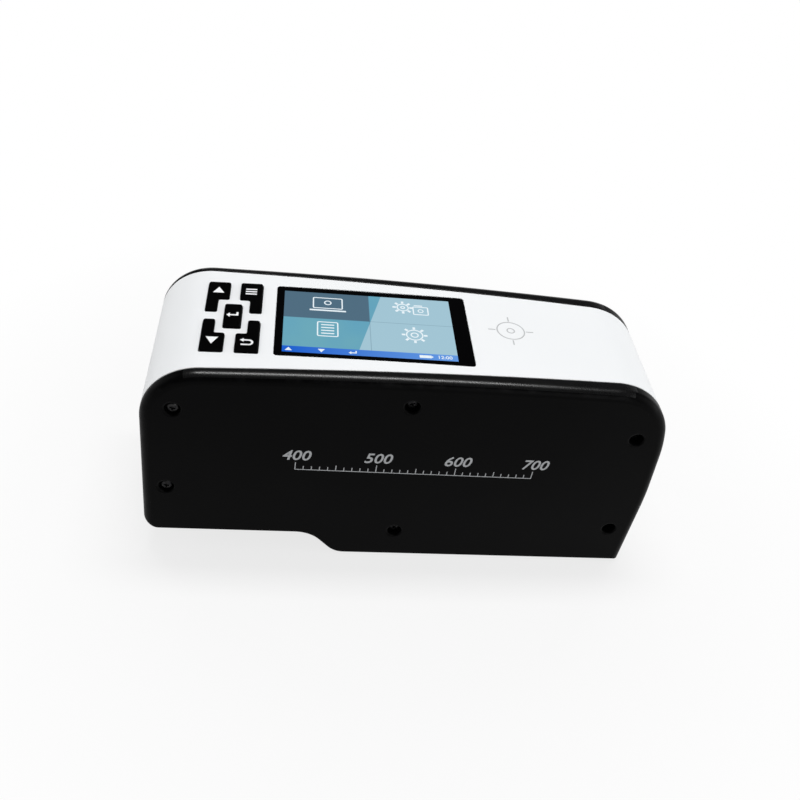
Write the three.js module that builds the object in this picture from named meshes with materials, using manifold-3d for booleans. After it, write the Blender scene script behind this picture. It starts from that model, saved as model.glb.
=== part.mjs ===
// Hand-held reflectance colorimeter that measures through an aperture in its base.
// Millimetres. +X runs to the nose, +Y to the left side cover, +Z up, and the base plane is Z = 0.
// A white band wraps over the top, a black base closes it below, and two black side covers clamp both.
import * as THREE from "three";
import { mergeVertices } from "three/addons/utils/BufferGeometryUtils.js";
import Module from "manifold-3d";

const wasm = await Module();
wasm.setup();

// Driving dimensions of the body
const body = {
  length: 205,
  height: 95.2,
  rearWidth: 73.7,
  noseWidth: 63.5,
  rearCoverDepth: 4.8,
  noseCoverDepth: 7.85,
  wall: 2.2,
  edgeRound: 4,
  bottomEdgeRoundShare: 0.4,
};

// Side outline of the body: corners of its straight runs and the radius that rounds each one
const profile = {
  undersideHeight: 11.8,
  undersideLength: 66.2,
  rearFootRadius: 6,
  stepRun: 11,
  stepRadius: 11.5,
  noseFootSetback: 0.6,
  noseFootRadius: 0.8,
  bellyHeightShare: 0.42,
  bellyRadius: 160,
  shoulderHeightShare: 0.714,
  shoulderSetback: 1.9,
  shoulderRadius: 70,
  noseTopSetback: 7.9,
  noseTopDrop: 0.7,
  noseTopRadius: 26,
  archRise: 1.03,
  archReachShare: 0.75,
  rearTopDrop: 3.4,
  rearTopRadius: 22.5,
  smallestRadius: 0.1,
  chordError: 0.12,
};

// Clearances shared by all pieces
const gap = 0.3;
const overrun = 1;

// Rim tongue of the side covers, which slips inside the band
const tongue = { thickness: 0.9, reach: 2 };

// Side screws, their wells in the side covers and their bosses in the band
const sideScrew = {
  shankRadius: 1.2,
  headRadius: 2.3,
  headHeight: 1.8,
  bite: 7,
  driveWidth: 0.8,
  driveLength: 2.8,
  driveDepth: 0.9,
};
const well = { radius: 2.7, wall: 1.3, floor: 2 };
const boss = { radius: 3.4, length: 7.2, ribThickness: 1.6, ribDepth: 2.3, ribReach: 24 };

// Places of the side screws, as shares of the body's length from its middle and of its height
const sideScrewShares = [
  { along: -0.44, up: 0.806, ribAngle: 135, carrier: "top" },
  { along: -0.018, up: 0.875, ribAngle: 90, carrier: "top" },
  { along: 0.425, up: 0.76, ribAngle: 0, carrier: "top" },
  { along: 0.445, up: 0.217, ribAngle: -90, carrier: "base" },
  { along: -0.005, up: 0.161, ribAngle: -90, carrier: "base" },
  { along: -0.454, up: 0.388, ribAngle: 180, carrier: "top" },
];

// Where the white band ends above the black base
const split = { rearHeight: 20, noseHeight: 4 };

// Display
const display = {
  fromKeypad: 53.8,
  windowLength: 75.2,
  windowWidth: 44.6,
  windowThickness: 1.2,
  windowSink: 0.2,
  windowCorner: 1.5,
  ledge: 1.4,
  panelLength: 73.4,
  panelWidth: 43.2,
  panelThickness: 2.8,
  panelClearance: 0.5,
  trayWall: 0.8,
  trayFloor: 1.2,
  trayOpeningLength: 30,
  trayOpeningWidth: 18,
};

// Keypad: four L-shaped keys round an oblong one
const keypad = {
  fromRear: 30.5,
  length: 21,
  width: 43.8,
  headLength: 8.5,
  headDepth: 10.6,
  legLength: 4.4,
  legDepth: 19,
  middleLength: 6.5,
  middleWidth: 14.5,
  corner: 0.9,
  proud: 1,
  travel: 1,
  slack: 0.15,
  sideClearance: 0.25,
  flangeWidth: 0.8,
  flangeThickness: 0.9,
  boardLength: 25,
  boardMargin: 0.1,
  boardThickness: 1.6,
  postX: 7,
  postClearance: 2.24,
  postRadius: 1.6,
};
const keySwitch = { side: 5.2, baseHeight: 0.9, buttonRadius: 1.3, buttonHeight: 0.6 };

// Main board below the display, hung on four posts
const mainBoard = {
  depth: 21.2,
  thickness: 1.6,
  fromDisplay: 7.2,
  length: 84,
  sideClearance: 3.33,
  postInset: 4,
  rearPostClearance: 0.32,
  nosePostClearance: 0.9,
  postRadius: 2.2,
  chipSide: 14,
  chipHeight: 1.8,
  socketLength: 24,
  socketWidth: 5,
  socketHeight: 3.4,
  screwShankRadius: 0.9,
  screwHeadRadius: 1.9,
  screwHeadHeight: 1.3,
  screwBite: 5,
};

// Optics: an integrating sphere over the aperture, a lens and a grating spectrometer above it
const optics = {
  fromNose: 40.5,
  level: 26.5,
  sphereRadius: 20,
  sphereWall: 2,
  portRadius: 6,
  flangeSide: 44,
  flangeThickness: 2.5,
  screwInset: 3.4,
  viewAngle: 8,
  viewPortRadius: 5,
  stubRadius: 8,
  stubReach: 25,
  lampAngle: -55,
  lampPortRadius: 4,
  lampStubRadius: 7,
};
const barrel = { radius: 7.5, bore: 5.5, length: 12 };
const lens = { radius: 6.3, edge: 1.4, crown: 1.1, pocketDepth: 3 };
const spectrometer = {
  length: 36,
  width: 31,
  height: 14,
  wall: 1.6,
  entryRadius: 4,
  coverThickness: 1.5,
  gratingSide: 10,
  gratingThickness: 4,
  gratingTilt: 50,
  gratingX: 3,
  sensorBoardInset: 2.4,
  sensorBoardThickness: 1.6,
  sensorBoardWidth: 24,
  sensorLength: 20,
  sensorHeight: 4,
  sensorDepth: 2,
};
const lamp = { boardRadius: 9, boardThickness: 1.6, ledRadius: 2.5, ledHeight: 3 };

// Measuring aperture in the base
const aperture = {
  radius: 4,
  throatRadius: 5.8,
  collarRadius: 10,
  collarTop: 4,
  flangeRadius: 13.2,
  flangeThickness: 0.9,
  setback: 0.1,
};
const gasket = { innerRadius: 6.4, outerRadius: 9.4 };

// Long screws that clamp the sphere down on the base pillars
const pillar = { radius: 3.6 };
const baseScrew = {
  shankRadius: 1.2,
  headRadius: 2.5,
  headHeight: 2,
  recess: 0.8,
  driveAcross: 2.4,
  driveDepth: 1.2,
};

// Battery and its cover under the raised rear
const battery = {
  fromRear: 16.5,
  length: 40,
  width: 40,
  height: 18,
  corner: 3,
  bayWall: 1.2,
  bayHeight: 8,
};
const door = {
  fromRear: 9.5,
  length: 50,
  width: 46,
  thickness: 1.2,
  corner: 2,
  screwInsetX: 3.3,
  screwInsetY: 3.4,
  bossRadius: 2.5,
  bossHeight: 4.5,
  shankRadius: 0.9,
  headRadius: 1.7,
  headHeight: 0.6,
  headJoinShare: 0.25,
};

// Sockets and power switch, behind an opening in the rear wall
const portPanel = {
  centreHeight: 46,
  height: 40,
  width: 34,
  thickness: 1.6,
  openingHeight: 34,
  openingWidth: 28,
  openingCorner: 3,
  standoffRadius: 2.2,
  standoffY: 13,
};
const usb = {
  height: 32.6,
  width: 9,
  thickness: 3.3,
  depth: 7.5,
  shell: 0.35,
  tongueWidth: 6.6,
  tongueThickness: 0.7,
  backWall: 1.5,
  endRoundShare: 0.98,
};
const jack = {
  height: 41,
  width: 9,
  depth: 7.5,
  boreRadius: 3.1,
  pinRadius: 1,
  pinRecess: 0.35,
  backWall: 1.5,
};
const portBoard = { thickness: 1.6, width: 30, belowUsb: 4.2, aboveJack: 4.4 };
const powerSwitch = {
  height: 54.4,
  bezelWidth: 10.5,
  bezelHeight: 15,
  bezelThickness: 1.2,
  bodyWidth: 8.6,
  bodyHeight: 13.2,
  bodyDepth: 10,
  cavityWidth: 7,
  cavityHeight: 11.7,
  cavityDepth: 7.4,
  paddleWidth: 6.4,
  paddleHeight: 10.4,
  paddleFront: 2.7,
  paddleBack: 2.2,
  pivotDepth: 1.5,
  pinRadius: 0.9,
  tilt: 7,
  tabWidth: 4,
  tabThickness: 0.8,
  tabLength: 4,
  tabSpacing: 7,
};

// Facets of round pieces, and steps of curves and rounded edges
const sides = {
  fine: 24,
  round: 16,
  small: 10,
  hexagon: 6,
  sphereRings: 8,
  dome: 7,
  lensFace: 4,
  edge: 4,
  corner: 3,
};

// Where the groups of pieces stand along the body
const rearX = -body.length / 2;
const noseX = body.length / 2;
const keypadX = rearX + keypad.fromRear;
const displayX = keypadX + display.fromKeypad;
const boardX = displayX + mainBoard.fromDisplay;
const opticsX = noseX - optics.fromNose;
const sideScrewSpots = sideScrewShares.map(({ along, up, ribAngle, carrier }) => ({
  x: along * body.length,
  z: up * body.height,
  ribAngle,
  carrier,
}));

// Materials
const paint = (color, roughness, metalness = 0) =>
  new THREE.MeshStandardMaterial({ color, roughness, metalness });
const whitePlastic = paint(0xeeeef0, 0.42);
const blackPlastic = paint(0x0f0f11, 0.5);
const keyRubber = paint(0x0b0b0c, 0.55);
const windowGlass = paint(0x060607, 0.12);
const panelGlass = paint(0x7fb3cf, 0.3);
const trayPlastic = paint(0x2b2c2e, 0.6);
const steel = paint(0x55575a, 0.35, 1);
const boardGreen = paint(0x14532d, 0.55);
const sphereWhite = paint(0xf6f6f2, 0.85);
const anodised = paint(0x1c1d20, 0.45, 0.6);
const glass = paint(0xcfe3ee, 0.05);
const gratingFoil = paint(0xb9bcc6, 0.2, 0.8);
const seal = paint(0x1a1a1a, 0.9);
const batteryWrap = paint(0x2f5f9e, 0.5);
const socketMetal = paint(0xb4b6b8, 0.3, 1);

// A closed geometry as a solid, faces turned outwards
function toSolid(geometry) {
  const bare = geometry.clone();
  bare.deleteAttribute("normal");
  bare.deleteAttribute("uv");
  const merged = mergeVertices(bare);
  const triVerts = new Uint32Array(merged.index.array);
  const vertProperties = merged.attributes.position.array;
  const made = new wasm.Manifold(new wasm.Mesh({ numProp: 3, vertProperties, triVerts }));
  if (made.volume() > 0) return made;
  return new wasm.Manifold(new wasm.Mesh({ numProp: 3, vertProperties, triVerts: triVerts.reverse() }));
}

const join = (...geometries) => geometries.map(toSolid).reduce((sum, next) => sum.add(next));

function cut(from, ...geometries) {
  return geometries.map(toSolid).reduce((rest, next) => rest.subtract(next), from);
}

function piece(name, solid, material) {
  const made = solid.getMesh();
  const geometry = new THREE.BufferGeometry();
  geometry.setAttribute("position", new THREE.BufferAttribute(made.vertProperties, made.numProp));
  geometry.setIndex(new THREE.BufferAttribute(made.triVerts, 1));
  geometry.computeVertexNormals();
  const mesh = new THREE.Mesh(geometry, material);
  mesh.name = name;
  return mesh;
}

// Block between two values on each axis
function block([x0, x1], [y0, y1], [z0, z1]) {
  const made = new THREE.BoxGeometry(x1 - x0, y1 - y0, z1 - z0);
  return made.translate((x0 + x1) / 2, (y0 + y1) / 2, (z0 + z1) / 2);
}

const centred = (size, middle = 0) => [middle - size / 2, middle + size / 2];

// Round bar along Z between two heights, about the point x, y
function upright(radius, [z0, z1], x = 0, y = 0, facets = sides.round) {
  const made = new THREE.CylinderGeometry(radius, radius, z1 - z0, facets);
  return made.rotateX(Math.PI / 2).translate(x, y, (z0 + z1) / 2);
}

// Round bar along Y between two values, about the point x, z
function crossways(radius, [y0, y1], x, z, facets = sides.round) {
  const made = new THREE.CylinderGeometry(radius, radius, y1 - y0, facets);
  return made.translate(x, (y0 + y1) / 2, z);
}

// Round bar along X between two values, about the point y, z
function lengthways(radius, [x0, x1], y, z, facets = sides.round) {
  const made = new THREE.CylinderGeometry(radius, radius, x1 - x0, facets);
  return made.rotateZ(Math.PI / 2).translate((x0 + x1) / 2, y, z);
}

// Turned piece about Z from [radius, height] points
function turned(points, facets = sides.fine) {
  const made = new THREE.LatheGeometry(points.map(([r, h]) => new THREE.Vector2(r, h)), facets);
  return made.rotateX(Math.PI / 2);
}

// Shape through points whose corners are rounded
function roundedShape(points, radius) {
  const shape = new THREE.Shape();
  points.forEach((point, i) => {
    const before = points[(i + points.length - 1) % points.length];
    const after = points[(i + 1) % points.length];
    const start = point.clone().add(before.clone().sub(point).setLength(radius));
    const end = point.clone().add(after.clone().sub(point).setLength(radius));
    if (i === 0) shape.moveTo(start.x, start.y);
    else shape.lineTo(start.x, start.y);
    shape.quadraticCurveTo(point.x, point.y, end.x, end.y);
  });
  shape.closePath();
  return shape;
}

function roundedOblong(length, width, radius) {
  const corners = [[1, 1], [-1, 1], [-1, -1], [1, -1]];
  const points = corners.map(([u, v]) => new THREE.Vector2((u * length) / 2, (v * width) / 2));
  return roundedShape(points, radius);
}

// Plate of a shape, lying between two heights
function plate(shape, [z0, z1]) {
  const settings = { depth: z1 - z0, bevelEnabled: false, curveSegments: sides.corner };
  const made = new THREE.ExtrudeGeometry(shape, settings);
  return made.translate(0, 0, z0);
}

// Corners of the side outline, anticlockwise with X to the right and Z up
const noseTopX = noseX - profile.noseTopSetback;
const stepTopX = rearX + profile.undersideLength;
const stepFootX = stepTopX + profile.stepRun;
const bellyHeight = body.height * profile.bellyHeightShare;
const shoulderHeight = body.height * profile.shoulderHeightShare;
const archNoseSlope = Math.atan2(profile.archRise + profile.noseTopDrop, noseTopX);
const archRearSlope = Math.atan2(profile.archRise + profile.rearTopDrop, -rearX);
const archRadius = (profile.archReachShare * noseTopX) / Math.tan((archNoseSlope + archRearSlope) / 2);
const outlineCorners = [
  { x: rearX, z: profile.undersideHeight, radius: profile.rearFootRadius, bottom: true },
  { x: stepTopX, z: profile.undersideHeight, radius: profile.stepRadius, bottom: true },
  { x: stepFootX, z: 0, radius: profile.stepRadius, bottom: true },
  { x: noseX - profile.noseFootSetback, z: 0, radius: profile.noseFootRadius },
  { x: noseX, z: bellyHeight, radius: profile.bellyRadius },
  { x: noseX - profile.shoulderSetback, z: shoulderHeight, radius: profile.shoulderRadius },
  { x: noseTopX, z: body.height - profile.noseTopDrop, radius: profile.noseTopRadius },
  { x: 0, z: body.height + profile.archRise, radius: archRadius, arch: true },
  { x: rearX, z: body.height - profile.rearTopDrop, radius: profile.rearTopRadius },
];

// Arc of each corner of the outline, moved inwards; runs below the body may move by another amount
function outlineArcs(inset, bottomInset = inset) {
  const count = outlineCorners.length;
  const runs = outlineCorners.map((corner, i) => {
    const next = outlineCorners[(i + 1) % count];
    const along = new THREE.Vector2(next.x - corner.x, next.z - corner.z).normalize();
    const inward = new THREE.Vector2(-along.y, along.x);
    const start = new THREE.Vector2(corner.x, corner.z);
    return { along, inward, start: start.addScaledVector(inward, corner.bottom ? bottomInset : inset) };
  });
  return outlineCorners.map((corner, i) => {
    const before = runs[(i + count - 1) % count];
    const after = runs[i];
    const between = after.start.clone().sub(before.start);
    const turnSine = before.along.cross(after.along);
    const reach = between.cross(after.along) / turnSine;
    const tip = before.start.clone().addScaledVector(before.along, reach);
    const turn = Math.asin(turnSine);
    const fullTurn = before.along.dot(after.along) < 0 ? Math.sign(turn) * Math.PI - turn : turn;
    const sign = Math.sign(fullTurn);
    const radius = Math.max(corner.radius - sign * inset, profile.smallestRadius);
    const tangent = radius * Math.tan(Math.abs(fullTurn) / 2);
    const start = tip.addScaledVector(before.along, -tangent);
    const centre = start.clone().addScaledVector(before.inward, sign * radius);
    const facetAngle = 2 * Math.acos(1 - profile.chordError / corner.radius);
    const steps = Math.max(2, Math.ceil(Math.abs(fullTurn) / facetAngle));
    return { centre, radius, start, turn: fullTurn, steps, arch: corner.arch };
  });
}

function outline(inset, bottomInset = inset) {
  return outlineArcs(inset, bottomInset).flatMap(({ centre, start, turn, steps }) =>
    Array.from({ length: steps + 1 }, (_, k) => start.clone().rotateAround(centre, (turn * k) / steps)),
  );
}

// Solid through outlines that stand one behind another along Y
function loft(rings) {
  const count = rings[0].length;
  const positions = rings.flat().flatMap(({ x, y, z }) => [x, y, z]);
  const index = [];
  for (let r = 0; r + 1 < rings.length; r++) {
    for (let i = 0; i < count; i++) {
      const a = r * count + i;
      const b = r * count + ((i + 1) % count);
      index.push(a, a + count, b + count, a, b + count, b);
    }
  }
  const last = (rings.length - 1) * count;
  const flat = (ring) => ring.map(({ x, z }) => new THREE.Vector2(x, z));
  const face = (ring) => THREE.ShapeUtils.triangulateShape(flat(ring), []);
  face(rings[0]).forEach(([a, b, c]) => index.push(a, b, c));
  face(rings.at(-1)).forEach(([a, b, c]) => index.push(last + a, last + c, last + b));
  const geometry = new THREE.BufferGeometry();
  geometry.setAttribute("position", new THREE.Float32BufferAttribute(positions, 3));
  return geometry.setIndex(index);
}

const ringAt = (points, yAt) => points.map((p) => new THREE.Vector3(p.x, yAt(p.x), p.y));

// Half width at x of a body that narrows evenly from rear to nose
const halfWidth = (rear, nose) => (x) => (rear + (nose - rear) * (x / body.length + 1 / 2)) / 2;
const seamAt = halfWidth(body.rearWidth - 2 * body.rearCoverDepth, body.noseWidth - 2 * body.noseCoverDepth);
const sideAt = halfWidth(body.rearWidth, body.noseWidth);

// Frame on the arched top at x: local Z is the surface's normal
function groupOnTop(x) {
  const { centre, radius } = outlineArcs(0).find((arc) => arc.arch);
  const group = new THREE.Group();
  group.position.set(x, 0, centre.y + Math.sqrt(radius ** 2 - (x - centre.x) ** 2));
  group.rotation.y = Math.asin((x - centre.x) / radius);
  group.updateMatrix();
  return group;
}

const model = new THREE.Group();
const displayGroup = groupOnTop(displayX);
const keypadGroup = groupOnTop(keypadX);
const sphereGroup = new THREE.Group();
sphereGroup.position.set(opticsX, 0, optics.level);
const viewGroup = new THREE.Group();
viewGroup.rotation.y = THREE.MathUtils.degToRad(optics.viewAngle);
sphereGroup.add(viewGroup);
model.add(displayGroup, keypadGroup, sphereGroup);

// Posts for the two boards stand just inside the tongues of the side covers
const keypadPostY = seamAt(keypadX) - tongue.reach - keypad.postRadius - keypad.postClearance;
const keypadBoardWidth = 2 * (keypadPostY + keypad.postRadius + keypad.boardMargin);
const boardPostY = (x, clearance) => seamAt(x) - tongue.reach - mainBoard.postRadius - clearance;

// Keys
const keyQuadrants = {
  up_key: [-1, 1],
  menu_key: [1, 1],
  down_key: [-1, -1],
  back_key: [1, -1],
};

function cornerKeyShape([u, v], grow) {
  const x = keypad.length / 2;
  const y = keypad.width / 2;
  const points = [
    [x + grow, y + grow],
    [x - keypad.headLength - grow, y + grow],
    [x - keypad.headLength - grow, y - keypad.headDepth - grow],
    [x - keypad.legLength - grow, y - keypad.headDepth - grow],
    [x - keypad.legLength - grow, y - keypad.legDepth - grow],
    [x + grow, y - keypad.legDepth - grow],
  ];
  const placed = points.map(([a, b]) => new THREE.Vector2(u * a, v * b));
  return roundedShape(u * v > 0 ? placed : placed.reverse(), keypad.corner);
}

const keyShapes = Object.fromEntries(
  Object.entries(keyQuadrants).map(([name, quadrant]) => [name, (grow) => cornerKeyShape(quadrant, grow)]),
);
keyShapes.enter_key = (grow) =>
  roundedOblong(keypad.middleLength + 2 * grow, keypad.middleWidth + 2 * grow, keypad.corner);

const flangeTop = -body.wall - gap;
const flangeBottom = flangeTop - keypad.flangeThickness;
const switchTop = flangeBottom - keypad.travel - keypad.slack;
const keyBoardTop = switchTop - keySwitch.buttonHeight - keySwitch.baseHeight - gap;

function addKeys() {
  for (const [name, shapeAt] of Object.entries(keyShapes)) {
    const cap = plate(shapeAt(0), [flangeBottom, keypad.proud]);
    const flange = plate(shapeAt(keypad.flangeWidth), [flangeBottom, flangeTop]);
    keypadGroup.add(piece(name, join(cap, flange), keyRubber));
  }
}

function addKeySwitches() {
  const headX = keypad.length / 2 - keypad.headLength / 2;
  const headY = keypad.width / 2 - keypad.headDepth / 2;
  const places = Object.entries(keyQuadrants).map(([name, [u, v]]) => [name, u * headX, v * headY]);
  places.push(["enter_key", 0, 0]);
  const baseTop = switchTop - keySwitch.buttonHeight;
  const baseBottom = baseTop - keySwitch.baseHeight;
  const buttonSpan = [baseTop - keySwitch.baseHeight / 2, switchTop];
  for (const [name, x, y] of places) {
    const base = block(centred(keySwitch.side, x), centred(keySwitch.side, y), [baseBottom, baseTop]);
    const button = upright(keySwitch.buttonRadius, buttonSpan, x, y, sides.small);
    keypadGroup.add(piece(name.replace("_key", "_switch"), join(base, button), trayPlastic));
  }
}

function addKeypadBoard() {
  const span = [keyBoardTop - keypad.boardThickness, keyBoardTop];
  const shape = roundedOblong(keypad.boardLength, keypadBoardWidth, keypad.corner);
  keypadGroup.add(piece("keypad_board", toSolid(plate(shape, span)), boardGreen));
}

// Display: window pane, liquid crystal panel and the tray that carries the panel
const paneTop = -display.windowSink;
const paneBottom = paneTop - display.windowThickness;
const panelTop = -body.wall - display.panelClearance;
const panelBottom = panelTop - display.panelThickness;
const trayTop = panelBottom - gap;

function addDisplay() {
  const pane = plate(roundedOblong(display.windowLength, display.windowWidth, display.windowCorner), [
    paneBottom,
    paneTop,
  ]);
  displayGroup.add(piece("display_window", toSolid(pane), windowGlass));
  const panel = block(centred(display.panelLength), centred(display.panelWidth), [panelBottom, panelTop]);
  displayGroup.add(piece("lcd_panel", toSolid(panel), panelGlass));

  const innerLength = display.panelLength + 2 * gap;
  const innerWidth = display.panelWidth + 2 * gap;
  const outerLength = innerLength + 2 * display.trayWall;
  const outerWidth = innerWidth + 2 * display.trayWall;
  const outside = block(centred(outerLength), centred(outerWidth), [trayTop - display.trayFloor, panelTop]);
  const inside = block(centred(innerLength), centred(innerWidth), [trayTop, panelTop + overrun]);
  const opening = block(centred(display.trayOpeningLength), centred(display.trayOpeningWidth), [
    trayTop - display.trayFloor - overrun,
    trayTop + overrun,
  ]);
  displayGroup.add(piece("lcd_tray", cut(toSolid(outside), inside, opening), trayPlastic));
}

// Band: the closed ring of wall between the two side covers
const bandHalf = (x) => seamAt(x) - gap / 2;

function bandEnvelope() {
  const points = outline(0);
  return toSolid(loft([ringAt(points, (x) => -bandHalf(x)), ringAt(points, bandHalf)]));
}

function bandRing() {
  const points = outline(body.wall);
  const wide = (x) => seamAt(x) + overrun;
  return cut(bandEnvelope(), loft([ringAt(points, (x) => -wide(x)), ringAt(points, wide)]));
}

// Everything below the line where the white band ends
function belowSplit(drop) {
  const across = centred(body.rearWidth);
  const rear = block([rearX - overrun, 0], across, [-overrun, split.rearHeight - drop]);
  const nose = block([-overrun, noseX + overrun], across, [-overrun, split.noseHeight - drop]);
  return [rear, nose];
}

// Bosses and ribs that one half of the band carries for the side screws
function bossesOf(carrier) {
  const made = [];
  for (const { x, z, ribAngle } of sideScrewSpots.filter((spot) => spot.carrier === carrier)) {
    for (const side of [-1, 1]) {
      const outer = side * (seamAt(x) + overrun);
      const inner = side * (seamAt(x) - boss.length);
      const ribOuter = side * (seamAt(x) - tongue.reach - 2 * gap);
      const ribInner = ribOuter - side * boss.ribDepth;
      made.push(crossways(boss.radius, [inner, outer].sort((a, b) => a - b), x, z));
      const rib = block(
        [0, boss.ribReach],
        [ribInner, ribOuter].sort((a, b) => a - b),
        centred(boss.ribThickness),
      );
      made.push(rib.rotateY(-THREE.MathUtils.degToRad(ribAngle)).translate(x, 0, z));
    }
  }
  return join(...made).intersect(bandEnvelope());
}

function bossHolesOf(carrier) {
  const across = centred(body.rearWidth);
  const radius = sideScrew.shankRadius + gap;
  const spots = sideScrewSpots.filter((spot) => spot.carrier === carrier);
  return spots.map(({ x, z }) => crossways(radius, across, x, z, sides.small));
}

// Posts below the top skin for the two boards
const boardLevel = body.height - mainBoard.depth;
const boardTop = boardLevel + mainBoard.thickness;
const boardPostReach = mainBoard.length / 2 - mainBoard.postInset;
const boardPostPlaces = [
  [boardX - boardPostReach, mainBoard.rearPostClearance],
  [boardX + boardPostReach, mainBoard.nosePostClearance],
];
const boardPosts = [-1, 1].flatMap((side) =>
  boardPostPlaces.map(([x, clearance]) => [x, side * boardPostY(x, clearance)]),
);
const boardNoseX = boardX + mainBoard.length / 2;
const boardWidth = 2 * (sideAt(boardNoseX) - body.wall - mainBoard.sideClearance);
const keypadPosts = [-1, 1].flatMap((u) => [-1, 1].map((v) => [u * keypad.postX, v * keypadPostY]));

function boardPostSolids() {
  const boardSpan = [boardTop + gap, body.height];
  const keySpan = [keyBoardTop + gap, -body.wall / 2];
  const posts = boardPosts.map(([x, y]) => upright(mainBoard.postRadius, boardSpan, x, y));
  const keyPosts = keypadPosts.map(([x, y]) => upright(keypad.postRadius, keySpan, x, y, sides.small));
  keyPosts.forEach((post) => post.applyMatrix4(keypadGroup.matrix));
  return join(...posts, ...keyPosts).intersect(bandEnvelope());
}

function addTopCover() {
  const shell = cut(bandRing(), ...belowSplit(0));
  const full = shell.add(bossesOf("top")).add(boardPostSolids());
  const recess = plate(
    roundedOblong(display.windowLength + gap, display.windowWidth + gap, display.windowCorner),
    [paneBottom - gap / 2, overrun],
  );
  const opening = block(
    centred(display.windowLength - 2 * display.ledge),
    centred(display.windowWidth - 2 * display.ledge),
    [-body.wall - overrun, overrun],
  );
  const displayCuts = [recess, opening].map((cutter) => cutter.applyMatrix4(displayGroup.matrix));
  const keyCuts = Object.values(keyShapes).map((shapeAt) =>
    plate(shapeAt(keypad.sideClearance), [-body.wall - overrun, overrun]).applyMatrix4(keypadGroup.matrix),
  );
  const portOpening = plate(
    roundedOblong(portPanel.openingHeight, portPanel.openingWidth, portPanel.openingCorner),
    [-body.wall - overrun, body.wall + overrun],
  );
  portOpening.rotateY(Math.PI / 2).translate(rearX, 0, portPanel.centreHeight);
  const threadRadius = mainBoard.screwShankRadius + gap;
  const threadSpan = [boardLevel, boardTop + mainBoard.screwBite + gap];
  const screwHoles = boardPosts.map(([x, y]) => upright(threadRadius, threadSpan, x, y, sides.small));
  const solid = cut(full, ...displayCuts, ...keyCuts, portOpening, ...screwHoles, ...bossHolesOf("top"));
  model.add(piece("top_cover", solid, whitePlastic));
}

// Base cover: floor, step and raised rear, with the pillars, the battery bay and the aperture seat
const screwReach = optics.flangeSide / 2 - optics.screwInset;
const pillarSpots = [-1, 1].flatMap((u) => [-1, 1].map((v) => [opticsX + u * screwReach, v * screwReach]));
const doorRearX = rearX + door.fromRear;
const doorMiddleX = doorRearX + door.length / 2;
const bayMiddleX = rearX + battery.fromRear + battery.length / 2;
const bayLength = battery.length + 2 * gap;
const bayWidth = battery.width + 2 * gap;
const undersideTop = profile.undersideHeight + body.wall;
const doorScrewX = doorRearX + door.screwInsetX;
const doorScrewSpots = [-1, 1].map((side) => [doorScrewX, side * (door.width / 2 - door.screwInsetY)]);
const lowerFlangeBottom = optics.level - gap / 2 - optics.flangeThickness;

function addBaseCover() {
  const floor = belowSplit(gap).map((part) => toSolid(part)).reduce((sum, next) => sum.add(next));
  const shell = bandRing().intersect(floor);
  const bayTop = undersideTop + battery.bayHeight;
  const bayOutside = block(
    centred(bayLength + 2 * battery.bayWall, bayMiddleX),
    centred(bayWidth + 2 * battery.bayWall),
    [profile.undersideHeight, bayTop],
  );
  const pillars = pillarSpots.map(([x, y]) => upright(pillar.radius, [0, lowerFlangeBottom - gap], x, y));
  const doorBosses = doorScrewSpots.map(([x, y]) =>
    upright(door.bossRadius, [undersideTop - gap, undersideTop + door.bossHeight], x, y, sides.small),
  );
  const full = shell.add(bossesOf("base")).add(join(bayOutside, ...pillars, ...doorBosses));

  const doorRecess = plate(roundedOblong(door.length + gap, door.width + gap, door.corner), [
    profile.undersideHeight - overrun,
    profile.undersideHeight + door.thickness + gap / 2,
  ]);
  doorRecess.translate(doorMiddleX, 0, 0);
  const bay = block(centred(bayLength, bayMiddleX), centred(bayWidth), [
    profile.undersideHeight - overrun,
    bayTop + overrun,
  ]);
  const doorHoleSpan = [profile.undersideHeight, undersideTop + door.bossHeight - gap];
  const doorHoles = doorScrewSpots.map(([x, y]) =>
    upright(door.shankRadius + gap, doorHoleSpan, x, y, sides.small),
  );
  const seatSpan = [-overrun, aperture.setback + aperture.flangeThickness + gap];
  const ringSeat = upright(aperture.flangeRadius + gap, seatSpan, opticsX, 0, sides.fine);
  const holeSpan = [-overrun, body.wall + overrun];
  const ringHole = upright(aperture.collarRadius + gap, holeSpan, opticsX, 0, sides.fine);
  const screwHoles = pillarSpots.flatMap(([x, y]) => [
    upright(baseScrew.shankRadius + gap, [-overrun, optics.level], x, y, sides.small),
    upright(baseScrew.headRadius + gap, [-overrun, baseScrew.recess + baseScrew.headHeight + gap], x, y),
  ]);
  const underCuts = [doorRecess, bay, ...doorHoles, ringSeat, ringHole, ...screwHoles];
  const solid = cut(full, ...underCuts, ...bossHolesOf("base"));
  model.add(piece("base_cover", solid, blackPlastic));
}

// Side covers: side is -1 for the right one and 1 for the left one
function sideCoverEnvelope(side) {
  const rings = [ringAt(outline(0), (x) => side * (seamAt(x) + gap / 2))];
  for (let k = 0; k <= sides.edge; k++) {
    const angle = (k / sides.edge) * (Math.PI / 2);
    const inset = body.edgeRound * (1 - Math.cos(angle));
    const fall = body.edgeRound * (1 - Math.sin(angle));
    rings.push(ringAt(outline(inset, inset * body.bottomEdgeRoundShare), (x) => side * (sideAt(x) - fall)));
  }
  return toSolid(loft(rings));
}

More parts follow.
